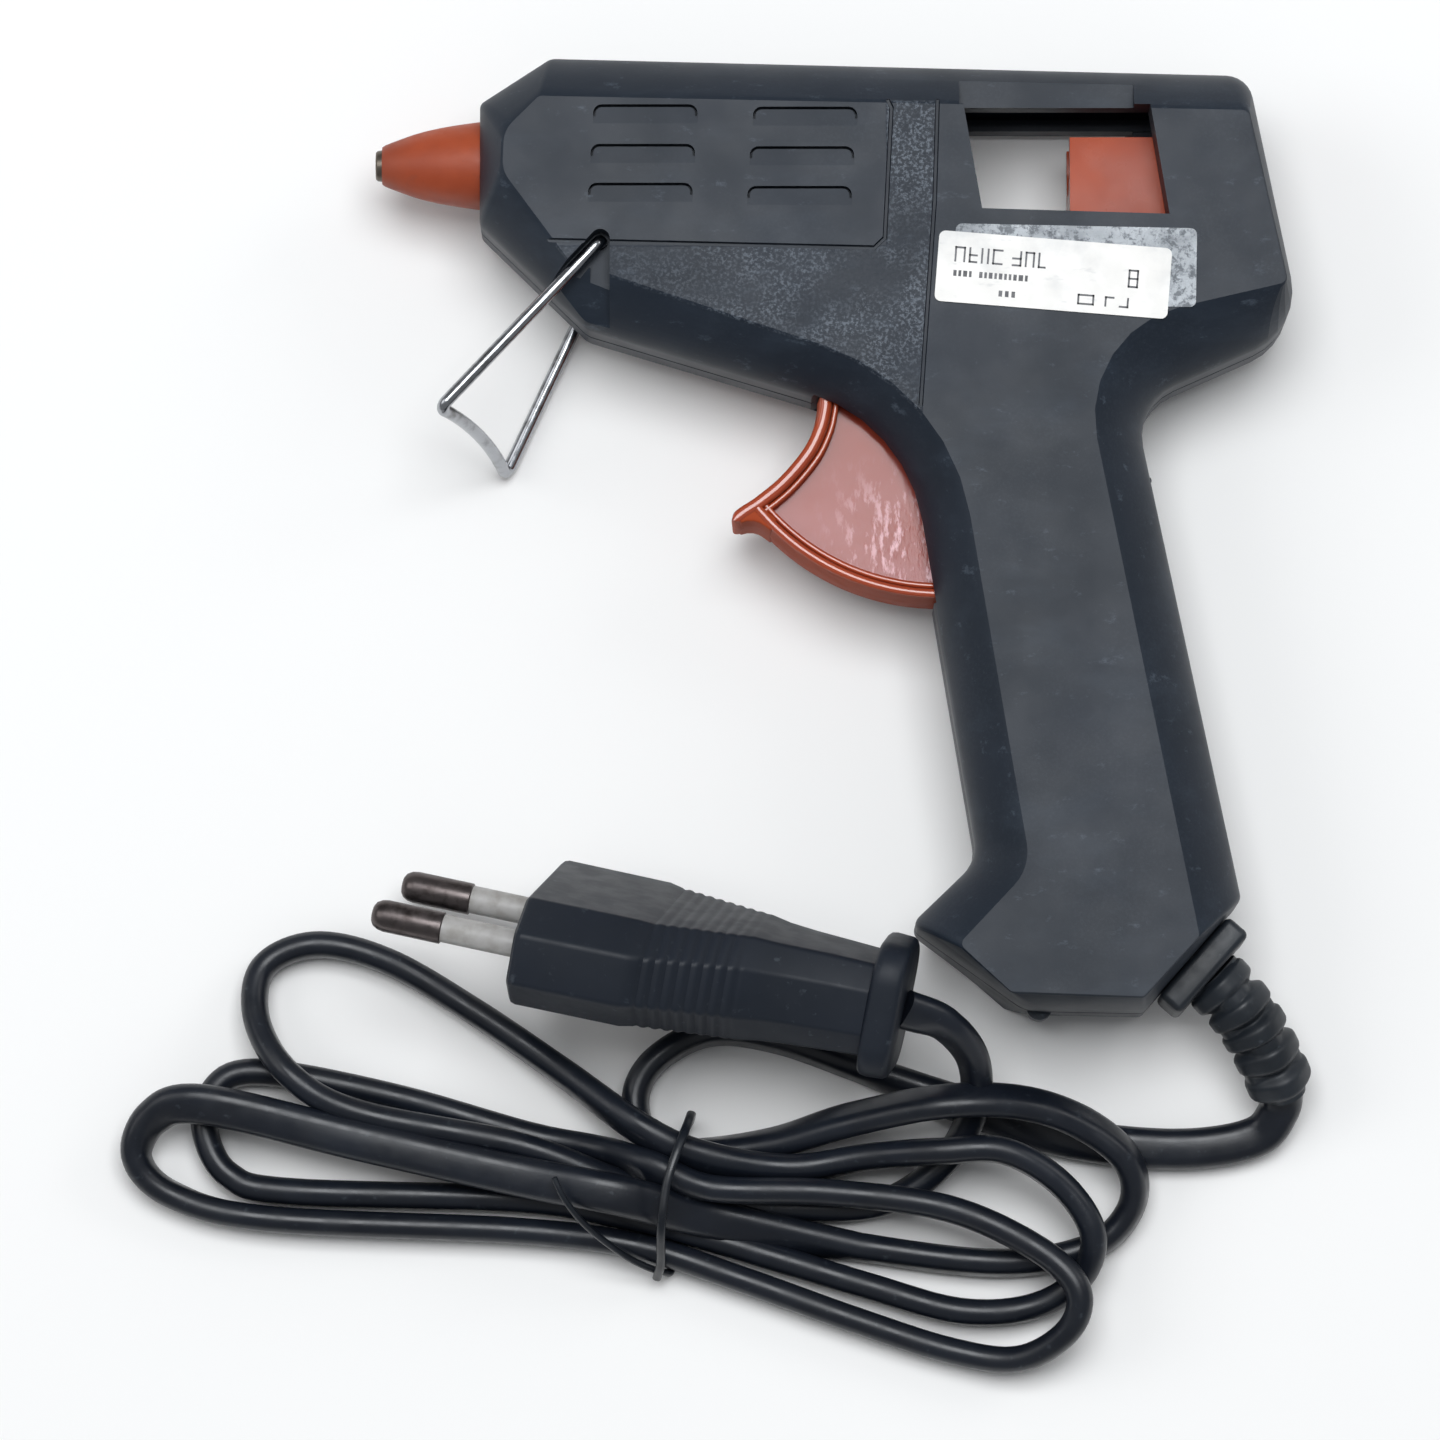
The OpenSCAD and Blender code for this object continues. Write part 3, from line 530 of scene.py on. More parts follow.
M_HOUSING = housing_material()
M_ORANGE = orange_gloss("orange_plastic_look", rgb(170, 73, 42), rgb(157, 62, 36), 0.08, 0.75)
M_ORANGE_WALL = orange_gloss("orange_wall_look", rgb(166, 72, 40), rgb(152, 62, 34), 0.5, 0.06)
M_CARRIAGE = orange_gloss("carriage_look", rgb(176, 74, 38), rgb(152, 60, 32), 0.26, 0.2)
M_WEB = web_material()
M_SILICONE = silicone_material()
M_CORD = rubber_material("cord_rubber_look", rgb(17, 21, 29), rgb(25, 30, 39), (0.28, 0.42), 3.0)
M_RELIEF = rubber_material("relief_rubber_look", rgb(22, 27, 33), rgb(32, 38, 45), (0.4, 0.56))
M_PLUG = rubber_material("plug_rubber_look", rgb(22, 28, 37), rgb(25, 31, 41), (0.46, 0.54), 3.4, 0.3)
M_TIE = rubber_material("tie_look", rgb(18, 22, 28), rgb(28, 33, 40), (0.25, 0.4))
M_CHROME = metal_material("bright_wire_look", rgb(168, 170, 174), rgb(84, 82, 78), (0.14, 0.26),
                          (0.1, 0.1, 0.1), 0.7)
M_STEEL = metal_material("screw_steel_look", rgb(178, 180, 184), rgb(96, 94, 90), (0.25, 0.42))
M_TIP = metal_material("tip_metal_look", rgb(112, 104, 95), rgb(52, 44, 38), (0.3, 0.5), None, 0.8)
M_PIN = metal_material("pin_metal_look", rgb(98, 91, 90), rgb(48, 41, 38), (0.3, 0.44), (0.12, 1.0, 1.0), 0.8)
M_SLEEVE = plain_plastic("pin_sleeve_look", rgb(168, 166, 164), rgb(146, 143, 138))
M_COPPER = metal_material("copper_look", rgb(190, 120, 84), rgb(110, 66, 44))
M_ALLOY = metal_material("cast_alloy_look", rgb(170, 172, 175), rgb(110, 108, 104), (0.4, 0.6))
M_CERAMIC = plain_plastic("ceramic_look", rgb(214, 208, 196), rgb(196, 188, 172), 0.6)
M_PHENOLIC = plain_plastic("phenolic_look", rgb(156, 128, 88), rgb(132, 104, 70), 0.55)
M_PALE = plain_plastic("pale_silicone_look", rgb(196, 190, 176), rgb(176, 168, 152), 0.5)
M_CRIMP = plain_plastic("crimp_look", rgb(214, 206, 188), rgb(196, 186, 166), 0.4)
M_BROWN = plain_plastic("brown_lead_look", rgb(110, 66, 44), rgb(92, 54, 36), 0.35)
M_BLUE = plain_plastic("blue_lead_look", rgb(52, 86, 140), rgb(42, 70, 120), 0.35)

for name, material in {
    "housing_screw_nose": M_STEEL, "housing_screw_heel": M_STEEL, "housing_screw_grip": M_STEEL,
    "nozzle_tip": M_TIP, "nose_ring": M_PHENOLIC, "melt_chamber": M_ALLOY, "ptc_heater": M_CERAMIC,
    "electrode_upper": M_COPPER, "electrode_lower": M_COPPER, "heater_clip": M_STEEL,
    "inlet_sleeve": M_PALE, "sleeve_clamp": M_STEEL, "stick_guide": M_ORANGE, "carriage_jaw": M_STEEL,
    "jaw_pin": M_STEEL, "trigger_pin": M_STEEL, "return_spring": M_STEEL, "lead_live": M_BROWN,
    "lead_neutral": M_BLUE, "splice_live": M_CRIMP, "splice_neutral": M_CRIMP,
    "pin_sleeve_upper": M_SLEEVE, "pin_sleeve_lower": M_SLEEVE,
}.items():
    mesh = nodes[name].data
    mesh.materials.clear()
    mesh.materials.append(material)

# ---------------------------------------------------------------- cord
plug_at = np.array([-36.9, -49.5, 17.9])
PLUG_TURN = [math.radians(a) for a in (-18, 6, 167.4)]
plug_matrix = Matrix.Translation(Vector(plug_at)) @ (
    Matrix.Rotation(PLUG_TURN[2], 4, "Z") @ Matrix.Rotation(PLUG_TURN[1], 4, "Y")
    @ Matrix.Rotation(PLUG_TURN[0], 4, "X"))
PLUG_LEN = 47.0


def plug_point(x, y, z):
    return np.array(plug_matrix @ Vector((x, y, z)))


CORD_ROUTE = [
    [56.5, -68.5, 6.5], [56, -71, 4.5], [53.5, -74, 3], [47, -75.5, 2.7], [38.5, -75.5, 2.7],
    [28.5, -74, 2.7], [16, -70, 2.7], [3.5, -65.5, 2.7], [-6.5, -62, 2.7], [-15, -61, 2.7],
    [-21.5, -64, 2.7], [-24.5, -68.5, 2.7], [-23.5, -73.5, 2.7], [-18.5, -76, 2.7],
    [-7.5, -75, 4.5], [2, -72.5, 9], [13.5, -70.5, 13.5], [23.5, -70.5, 12], [31.5, -73, 9],
    [37, -77.5, 7], [37.5, -83, 4], [32.5, -88, 2.7], [21, -90, 2.7], [3.5, -88, 2.7], [-15.5, -84.5, 5.5],
    [-26.5, -82, 11], [-39, -79.5, 9.5], [-59, -75, 8.5], [-78.5, -70.5, 8.5], [-85, -72, 6],
    [-87, -77, 4], [-82.5, -81.5, 2.7], [-70.5, -84.5, 2.7], [-39, -86, 2.7], [-24, -88, 2.7],
    [-11.5, -92, 2.7], [2.5, -97, 2.7], [15, -101, 2.7], [23.5, -102, 4], [29.5, -98.5, 7.5],
    [30.5, -93.5, 9.5], [25.5, -88.5, 9], [14.5, -83.5, 8.5], [-0.5, -81.5, 8.5], [-15, -81, 8.5],
    [-22.5, -78.5, 8.8], [-29, -76, 4.4], [-38, -74, 2.7], [-55.5, -69, 2.7], [-72.5, -66, 2.7],
    [-78, -69, 2.7], [-78.5, -74, 2.7], [-75.5, -79, 2.7], [-68, -81, 2.7], [-39, -82, 2.7],
    [-26.5, -84, 2.7], [-16.5, -86.5, 2.7], [-6.5, -89.5, 2.7], [5, -93, 2.7], [16, -96, 2.7],
    [25, -95.5, 2.7], [31, -92, 4.5], [32.5, -86.5, 8], [28.5, -80.5, 9.5], [21.5, -76.5, 11],
    [13.5, -76.5, 11], [4.5, -77, 8], [-5.5, -78.5, 7], [-16.5, -77, 8.5], [-24, -73.5, 9],
    [-34, -66, 5], [-45.5, -58, 3], [-56, -52, 2.7], [-65, -50, 2.7], [-71.5, -53, 2.7], [-72, -60, 5],
    [-67.5, -67, 8], [-59, -71.5, 7.5], [-39, -75.5, 7.5], [-26.5, -80, 6], [-16.5, -82, 2.9],
    [-4, -83, 2.7], [6, -82.5, 2.7], [13.5, -78, 4.5], [17.5, -71.5, 8.2], [17.5, -65.5, 14],
    [14, -61.5, 20]]
cord_ctrl = np.array(CORD_ROUTE + [plug_point(-PLUG_LEN, 0, 0)])
cord_line, cord_at = catmull(cord_ctrl, 9)
# how far the flat cord lies over, in degrees: 0 on edge and 90 flat, at some points of the route
LIE_AT = [0, 5, 7, 13, 15, 18, 20, 23, 24, 27, 28, 30, 32, 44, 45, 46, 48, 66, 68, 69, 71, 82, 86, 87]
LIE = [88, 80, 10, 5, 40, 40, 8, 10, 78, 82, 70, 15, 0, 0, 35, 10, 0, 0, 30, 20, 0, 5, 30, 60]


def cord_frames(line, at):
    t = tangents(line)
    angle = np.radians(np.interp(at, LIE_AT, LIE))
    z = np.array([0.0, 0.0, 1.0])
    up = z - t * t[:, 2:3]
    up /= np.linalg.norm(up, axis=1)[:, None]
    across = np.cross(t, up)
    wide = up * np.cos(angle)[:, None] + across * np.sin(angle)[:, None]
    return t, wide, np.cross(t, wide)


power_cord = sweep("power_cord_flat", cord_line, stadium(CORD_WIDE, CORD_THICK, 7), M_CORD,
                   cord_frames(cord_line, cord_at), 50)
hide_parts("power_cord")
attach(power_cord, "housing")


# ---------------------------------------------------------------- plug
def plug_section(x, w, t, cut=0.0, r=1.1, steps=4):
    """One section of the plug; cut is how deep a groove runs round its two narrow sides."""
    c = [(t, w * 0.7), (t * 0.47, w), (-t * 0.47, w), (-t, w * 0.7),
         (-t, -w * 0.7), (-t * 0.47, -w), (t * 0.47, -w), (t, -w * 0.7)]
    out = []
    for a, b in rounded([(a, b, r) for a, b in c], steps):
        g = cut * min(1.0, max(0.0, (abs(b) / w - 0.42) / 0.4))
        out.append(plug_point(x, a * (1 - g / t), b - math.copysign(g, b)))
    return out


# along the plug: distance behind its front, half width, half thickness and depth of groove
GROOVES = 9
PER_GROOVE = 6
GROOVE_PITCH = 1.4
GROOVE_DEEP = 0.22
stations = [(-43.4, 6.4, 5.5), (-43.0, 6.9, 5.9), (-38, 7.5, 6.1), (-34, 8.2, 6.2), (-30.5, 9.2, 6.35)]
for i in range(GROOVES * PER_GROOVE, -1, -1):
    along = i / PER_GROOVE
    fade = min(1.0, (GROOVES * PER_GROOVE - i) / 14 + 0.25)
    wave = (0.5 - 0.5 * math.cos(along * 2 * math.pi)) ** 1.5
    stations.append((-15.4 - GROOVE_PITCH * along, 16.6 - 0.7 * along, 6.65, GROOVE_DEEP * fade * wave))
stations += [(-14, 17.2, 6.85), (-0.9, 17.6, 6.85), (-0.35, 17.35, 6.7), (0, 16.9, 6.3)]
plug_points, plug_faces = loft([plug_section(*s) for s in stations])
plug_core = mesh_object("plug_moulding", plug_points, plug_faces, M_PLUG, 24)
flange_outline = rounded([(8.6, 7.4, 4.6), (-8.6, 7.4, 4.6), (-8.6, -7.4, 4.6), (8.6, -7.4, 4.6)], 9)
flange_rings = []
for x, k in ((0, 0.9), (0.25, 0.955), (0.7, 0.985), (2.8, 1.0), (3.5, 0.985), (3.9, 0.94), (4.0, 0.86)):
    flange_rings.append([plug_point(x - PLUG_LEN, p[0] * k, p[1] * k) for p in flange_outline])
flange_points, flange_faces = loft(flange_rings)
plug_flange = mesh_object("plug_flange", flange_points, flange_faces, M_PLUG, 40)
plug_parts = [plug_core, plug_flange]
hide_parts("plug_body")
for p in plug_parts:
    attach(p, "housing")

for name, side in (("upper", 1), ("lower", -1)):
    profile = [(-4, 1.15), (9.95, 1.15), (10.0, 1.8), (10.12, 2.0), (17.2, 2.0), (18.0, 1.86), (18.6, 1.52),
               (18.9, 1.05), (19.0, 0.5)]
    rings = [[plug_point(x, y, side * PIN_OFFSET + z) for y, z in circle(r, 32)] for x, r in profile]
    points, faces = loft(rings)
    pin = mesh_object("pin_" + name, points, faces, M_PIN, 50)
    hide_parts("plug_pin_" + name)
    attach(pin, "housing")

# ---------------------------------------------------------------- strain relief
CHAMFER = np.array([44.65, -52.6, PARTING_Z])
CHAMFER_OUT = unit([0.752, -0.66, 0.0])
relief_ctrl = [CHAMFER + 3.4 * CHAMFER_OUT, [50.2, -58, 12.3], [52.6, -61.2, 11], [54.6, -64.7, 9.2],
               CORD_ROUTE[0]]
relief_line, relief_at = catmull(relief_ctrl, 36)
RIBS = 5
RIB_R = 1.1
CORE_R = 3.1
relief_t, relief_side, relief_up = carried(relief_line)
relief_sections = []
for i, u in enumerate(relief_at / relief_at[-1]):
    phase = (u * RIBS) % 1.0
    bead = 1 - abs(math.cos(math.pi * phase)) ** 7
    odd = int(u * RIBS + 0.5) % 2
    section = []
    for k in range(40):
        a = 2 * math.pi * k / 40
        # the grooves between the beads are bridged on alternate sides
        bridge = min(1.0, max(0.0, (abs(math.sin(a + odd * math.pi / 2)) - 0.62) / 0.3))
        r = CORE_R + (RIB_R - 0.1 * u) * max(bead, 0.6 * bridge)
        r *= 1.0 + 0.035 * math.cos(4 * a)
        section.append((r * math.cos(a), r * math.sin(a)))
    relief_sections.append(section)
relief_sleeve = sweep("relief_sleeve", relief_line, relief_sections, M_RELIEF,
                      (relief_t, relief_side, relief_up), 34)
flange = box_piece("relief_flange", (0.1, -6.6, -5.4), (3.6, 6.6, 5.4), M_RELIEF)
bevelled(flange, 0.8, 4)
neck = sweep("relief_neck", [(-2.6, 0, 0), (0.5, 0, 0)], circle(CORE_R, 32), M_RELIEF)
button = sweep("relief_button", [(-3.6, 0, 0), (-2.4, 0, 0)], circle(4.2, 32), M_RELIEF)
turn = Matrix.Rotation(math.atan2(CHAMFER_OUT[1], CHAMFER_OUT[0]), 4, "Z")
for p in (flange, neck, button):
    p.data.transform(Matrix.Translation(Vector(CHAMFER) * MM) @ turn)
relief_parts = [relief_sleeve, flange, neck, button]
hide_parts("strain_relief")
for p in relief_parts:
    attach(p, "housing")

# ---------------------------------------------------------------- tie
tie_ctrl = [[-34.6, -80.0, 14.2], [-33.2, -82.8, 13.4], [-30.4, -86.0, 10.5], [-25.6, -89.4, 6.0],
            [-21.6, -91.0, 3.4], [-20.0, -90.2, 0.9], [-19.5, -82, 0.6], [-18.6, -74.2, 0.7],
            [-17.7, -72.0, 3.4], [-17.6, -71.7, 8.6], [-18.1, -73.4, 12.8], [-19.3, -76.6, 14.8],
            [-20.7, -81.2, 14.9], [-21.3, -86.4, 13.4], [-21.4, -90.2, 7.4], [-21.9, -91.9, 3.2]]
tie_line, tie_at = catmull(tie_ctrl, 8)
cord_tie = sweep("cord_tie_wire", tie_line, stadium(1.15, 0.8, 5), M_TIE, None, 60)
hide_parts("cord_tie")
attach(cord_tie, "housing")

# ---------------------------------------------------------------- housing
SIDE = [[-44.1, 39.0, 1.5], [-30.6, 25.8, 3], [8.9, 13.9, 20], [18.0, -40.8, 5], [9.6, -48.9, 1.2],
        [24.0, -59.2, 5], [38.6, -59.5, 1], [50.7, -45.7, 1.5], [37.7, 16.5, 7], [58.7, 25.9, 8],
        [52.2, 58.0, 3.5], [-35.2, 60.2, 2], [-44.1, 54.4, 1]]
FACE = [[-41.2, 44.6, 4], [-32.8, 33.2, 1], [14.2, 17.4, 27], [24.2, -42.4, 6], [15.3, -51.9, 1],
        [21.8, -57.9, 1], [38.2, -58.5, 0.8], [45.2, -50.9, 0.8], [30.2, 24.4, 14], [56.6, 30.5, 1],
        [51.8, 52.4, 1], [-36.6, 54.2, 1], [-41.0, 49.8, 4]]
SCREWS = [(-14, 32), (47.5, 32), (36.5, -28)]
WINDOW = [(16.3, 53.1), (18.6, 39.9), (41.9, 39.2), (39.6, 53.1)]
WALL = 2.0
BEVEL_POWER = 1.8
STRAIGHT_Z = 18.0
LOUVRES = [(-30.4, 43.1), (-30.1, 48.0), (-29.8, 53.0), (-10.6, 42.7), (-10.3, 47.7), (-9.9, 52.7)]
LOUVRE_WIDE = 13.0
LIP_R = 1.1
# grooves drawn on the face: round the louvre panel, and the joint line behind the coarse band
PANEL_LINE = [(-36.4, 35.9), (5.2, 34.93), (6.5, 36.2), (7.35, 52.6), (6.9, 53.6)]
BAND_LINE = [(13.1, 53.6), (12.7, 40.9), (10.9, 15.2)]


def blend_corners(a, b, f):
    return [[p * (1 - f) + q * f for p, q in zip(u, v)] for u, v in zip(a, b)]


def shell_cup(name):
    """Half of the case as a closed skin, z up from the parting plane to the face."""
    side_in, face_in = inset(SIDE, WALL), inset(FACE, 1.2)
    inner_low, inner_high = 17.2, FACE_Z - WALL
    rings = []
    for h in (1.0, 0.8, 0.6, 0.4, 0.2, 0.0):
        corners = blend_corners(side_in, face_in, h ** BEVEL_POWER)
        rings.append(flat_ring(rounded(corners), inner_low + (inner_high - inner_low) * h))
    rings.append(flat_ring(rounded(side_in), PARTING_Z))
    # a small chamfer on the outer edge makes the joint line between the halves
    rings.append(flat_ring(rounded(inset(SIDE, 0.35)), PARTING_Z))
    rings.append(flat_ring(rounded(SIDE), PARTING_Z + 0.3))
    rings.append(flat_ring(rounded(SIDE), STRAIGHT_Z - 0.4))
    for k in range(12):
        h = 0.965 * k / 11
        corners = blend_corners(SIDE, FACE, h ** BEVEL_POWER)
        rings.append(flat_ring(rounded(corners), STRAIGHT_Z + (FACE_Z - STRAIGHT_Z) * h))
    rings.append(flat_ring(rounded(inset(FACE, 0.12)), FACE_Z))
    points, faces = loft(rings)
    return mesh_object(name, points, faces, M_HOUSING)


def groove(p, q, w=0.56, depth=0.6, over=0.1):
    """A V-sided groove's cutter."""
    p, q = np.array(p, float), np.array(q, float)
    d = unit(q - p)
    n = np.array([-d[1], d[0]])
    p, q = p - d * over, q + d * over
    rings = []
    for z, k in ((FACE_Z - depth, 0.3), (FACE_Z, 0.52), (FACE_Z + 0.3, 0.7)):
        rings.append(flat_ring([p - n * w * k, q - n * w * k, q + n * w * k, p + n * w * k], z))
    points, faces = loft(rings)
    return mesh_object("cut", points, faces)


def louvre_outline(x, y, width, r, drop):
    """A hood's outline from its upper left corner, with rounded upper corners and open below."""
    out = []
    for cx, a0 in ((x + width - r, 0), (x + r, 90)):
        out += [polar(a0 + 90 * i / 6, r, (cx, y - r)) for i in range(7)]
    return [(x + width, y - drop)] + out + [(x, y - drop)]


def louvre_cutter(x, y, width=LOUVRE_WIDE, height=2.4, deep=0.24):
    """A hood that is deepest under its top lip and runs out to nothing at its lower edge."""
    outline = louvre_outline(x, y, width, LIP_R, height)
    low = [(p[0], p[1], FACE_Z - 0.01 - deep * (p[1] - y + height) / height) for p in outline]
    points, faces = loft([low, flat_ring(outline, FACE_Z + 0.6)])
    return mesh_object("cut", points, faces)


def slit_cutter(x, y, width=LOUVRE_WIDE, w=0.32):
    """The narrow gap that follows the hood's lip and turns down at both its ends."""
    outer = louvre_outline(x, y, width, LIP_R, 1.5)
    inner = louvre_outline(x + w, y - w, width - 2 * w, LIP_R - w, 1.5 - w)
    return prism("cut", outer + inner[::-1], FACE_Z - 1.7, FACE_Z + 0.6)


LEG_GAP = 1.2
RECESS_Z = 23.45
SLOT_Z = 22.6
SCREW_HOLE_R = 2.9


def fan_cutter(angle, floor_z, swing=STAND_SWING, reach=15.0):
    """The space that the stand's leg sweeps over swing degrees, above floor_z."""
    gap = LEG_GAP
    a0, a1 = angle, angle + swing
    outline = [polar(a1 + 90 + i * (180 - swing) / 12, gap) for i in range(13)]
    outline += [polar(a0 - 90, gap) + polar(a0, reach), polar((a0 + a1) / 2, reach + 1),
                polar(a1 + 90, gap) + polar(a1, reach)]
    return prism("cut", [p + STAND for p in outline], floor_z, FACE_Z + 1)


def slope_cutter(angle, floor_z, low_z, swing=STAND_SWING, near=4.3, reach=15.5):
    """The outer part of the fan, whose floor falls away like the case's bevel."""
    n0, n1 = polar(angle - 90, LEG_GAP), polar(angle + swing + 90, LEG_GAP)
    rays = (polar(angle, 1.0), polar(angle + swing, 1.0))
    base = [STAND + n0 + rays[0] * near, STAND + n0 + rays[0] * reach,
            STAND + n1 + rays[1] * reach, STAND + n1 + rays[1] * near]
    low = [(p[0], p[1], z) for p, z in zip(base, (floor_z, low_z, low_z, floor_z))]
    points, faces = loft([low, flat_ring(base, FACE_Z + 1)])
    return mesh_object("cut", points, faces)


def tube_cutter(p, q, r, n=40):
    return sweep("cut", [p, q], circle(r, n))


def round_piece(x, y, r, z0, z1):
    """An upright round cutter or boss."""
    return prism("cut", [polar(360 * i / 24, r, (x, y)) for i in range(24)], z0, z1)


def window_wall():
    """The window's rear side, which slopes inwards from the face."""
    low = [(38.3, 53.0), (40.9, 39.3), (43.4, 39.3), (41.2, 53.0)]
    high = [(39.62, 53.0), (41.88, 39.3), (43.4, 39.3), (41.2, 53.0)]
    points, faces = loft([flat_ring(low, 19.6), flat_ring(high, 25.4)])
    return mesh_object("add", points, faces)


def shell_half(name, leg_angle, front):
    """front is the left half, seen from above; the right half is the same thing mirrored."""
    shell = shell_cup(name)
    # backing of the stand's recess, rib over the window, frame round the window, hinge boss
    backing = [(-40.6, 40.6), (-31.6, 31), (-20, 26.9), (-19, 36), (-24, 42.5), (-37, 42.5)]
    boss = [(-36.4, 40.4), (-31.9, 33.6), (-20, 29.8), (-18.6, 36), (-23.6, 41.6), (-34.4, 41.6)]
    adds = [prism("add", backing, 21.2, 23.6),
            prism("add", boss, 21.0, 25.0),
            box_piece("add", (14, 53.12, 19.6), (42, 54.6, 23.4)),
            prism("add", [(15.2, 52.9), (17.4, 39.1), (18.62, 39.88), (16.35, 52.9)], 19.6, 24.8),
            prism("add", [(17.6, 38.1), (43, 37.3), (43, 39.14), (17.6, 39.92)], 21.9, 24.9)]
    # the left half's window wall is cut back by the window, and its hinge boss comes after that
    last = round_piece(*HINGE, 3.4, 22.0, 24.9) if front else window_wall()
    if front:
        adds.append(window_wall())
    for a in adds:
        boolean(shell, a, "UNION")
    boolean(shell, prism("cut", WINDOW, 12, 27.5))
    boolean(shell, last, "UNION")
    below = PARTING_Z - 1
    mouth = [HINGE] + [polar(196 + 3.9 * i, TRIGGER_R + 0.5, HINGE) for i in range(21)]
    # nozzle, stick inlet, cord, trigger mouth, window top, stand's recess and the stand's two resting slots
    cuts = [tube_cutter((-50, BARREL_Y, PARTING_Z), (-40, BARREL_Y, PARTING_Z), 5.7),
            tube_cutter((49, BARREL_Y, PARTING_Z), (60, BARREL_Y, PARTING_Z), 5.65),
            tube_cutter(CHAMFER - 6 * CHAMFER_OUT, CHAMFER + 6 * CHAMFER_OUT, 3.2, 32),
            prism("cut", mouth, below, 19.4),
            box_piece("cut", (15.8, 53.1, 22.9), (37.6, 63, 30)),
            fan_cutter(leg_angle, RECESS_Z, reach=5.0),
            slope_cutter(leg_angle, RECESS_Z, 17.8),
            fan_cutter(leg_angle, SLOT_Z, 0.5, 9.0),
            fan_cutter(leg_angle + STAND_SWING - 0.5, SLOT_Z, 0.5, 6.5),
            round_piece(*STAND, 0.87, below, 24)]
    for x, y in LOUVRES:
        cuts.append(louvre_cutter(x, y))
        cuts.append(slit_cutter(x, y))
    for route in (PANEL_LINE, BAND_LINE):
        cuts += [groove(p, q) for p, q in zip(route, route[1:])]
    if not front:
        cuts += [round_piece(x, y, SCREW_HOLE_R, 21, FACE_Z + 1) for x, y in SCREWS]
    for c in cuts:
        boolean(shell, c)
    if not front:
        shell.data.transform(Matrix.Translation((0, 0, FACE_Z * MM)) @ Matrix.Scale(-1, 4, (0, 0, 1)))
        shell.data.flip_normals()
        for x, y in SCREWS:
            boolean(shell, round_piece(x, y, 4.2, 1.2, 8.0), "UNION")
        for x, y in SCREWS:
            boolean(shell, round_piece(x, y, SCREW_HOLE_R, -1, 5))
            boolean(shell, round_piece(x, y, 1.5, 4, 9))
        # two small moulding nubs by the heel and on the grip's rear edge
        boolean(shell, round_piece(25.8, -58.6, 1.6, 9, 12), "UNION")
        boolean(shell, round_piece(39.6, 7.6, 0.55, 10, 12.4), "UNION")
    shade(shell, 13)
    return shell


left_shell = shell_half("left_shell", NEAR_LEG, True)
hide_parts("left_housing")
right_shell = shell_half("right_shell", FAR_LEG, False)
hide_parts("right_housing")
for p in (left_shell, right_shell):
    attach(p, "housing")

# ---------------------------------------------------------------- nozzle
sleeve_outer = [(-56.5, 2.35), (-56.1, 2.62), (-55.2, 2.98), (-54.0, 3.42), (-52.6, 3.92), (-51.0, 4.38),
                (-49.2, 4.78), (-47.2, 5.12), (-45.4, 5.38), (-44.1, 5.55), (-41.9, 5.6)]
sleeve_inner = [(-41.9, 5.9), (-41.2, 5.9), (-41.2, 4.32), (-46.5, 4.32), (-46.5, 3.6), (-52, 2.62),
                (-56.5, 2.06)]
nozzle_sleeve = revolve("nozzle_sleeve_skin", (sleeve_outer + sleeve_inner)[::-1], M_SILICONE)
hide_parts("nozzle_sleeve")
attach(nozzle_sleeve, "housing")

# ---------------------------------------------------------------- trigger
FINGER = np.array([-32.7, 30.2])
FINGER_R = 34
HUB_R = 4.6
PIN_HOLE_R = 1.56
TRUNNION_R = 1.5
SLOT_R = 1.65
ARMS_Z = (4.6, 19.4)
ARM_THICK = 2
WEB_LOW, WEB_HIGH = 9.8, 16.2


def blade(skin, fine=3):
    """The trigger's outline, moved in by skin: finger arc, low arc and the hub's corner."""
    low = TRIGGER_R - skin
    out = [polar(-21.5 - 24 * i / (6 * fine), FINGER_R + skin, FINGER) for i in range(6 * fine + 1)]
    out += [polar(225 + i * (51 - 2.2 * skin) / (8 * fine), low, HINGE) for i in range(8 * fine + 1)]
    return out + [HINGE + (4.6 - skin, -4 - skin), HINGE + (-2, -2.6 - 1.4 * skin)]


def ridge(name, line, half, z0, z1, tip=None):
    """A round-topped ridge with drafted sides, along a flat line of mm points; tip rounds its last end."""
    line = np.array([[*q, 0.0] for q in line])
    t = tangents(line)
    up = np.tile((0.0, 0.0, 1.0), (len(line), 1))
    left = np.linalg.norm(line - line[-1], axis=1)
    mid = (z0 + z1) / 2
    sections = []
    for k in range(len(line)):
        h = half
        if tip and left[k] < tip:
            h = half * math.sqrt(max(0.03, 1 - (1 - left[k] / tip) ** 2))
        top = h * 0.72
        corners = [(top, z1, 0.9 * top), (-top, z1, 0.9 * top), (-h, mid, 2.0), (-top, z0, 0.9 * top),
                   (top, z0, 0.9 * top), (h, mid, 2.0)]
        sections.append([tuple(q) for q in rounded(corners, 6)])
    piece = sweep(name, line, sections, M_ORANGE, (t, np.cross(up, t), up), 40)
    piece.data.materials.append(M_ORANGE_WALL)
    for face in piece.data.polygons:
        face.material_index = 1 if abs(face.normal.z) < 0.3 else 0
    return piece


def low_arc(r, a0, a1, n=48):
    return [polar(a0 + (a1 - a0) * k / n, r, HINGE) for k in range(n + 1)]


def beside(line, d):
    """A flat line moved by d to its left."""
    line = np.asarray(line, float)
    t = np.gradient(line, axis=0)
    t /= np.linalg.norm(t, axis=1)[:, None]
    return line + d * np.stack([-t[:, 1], t[:, 0]], 1)


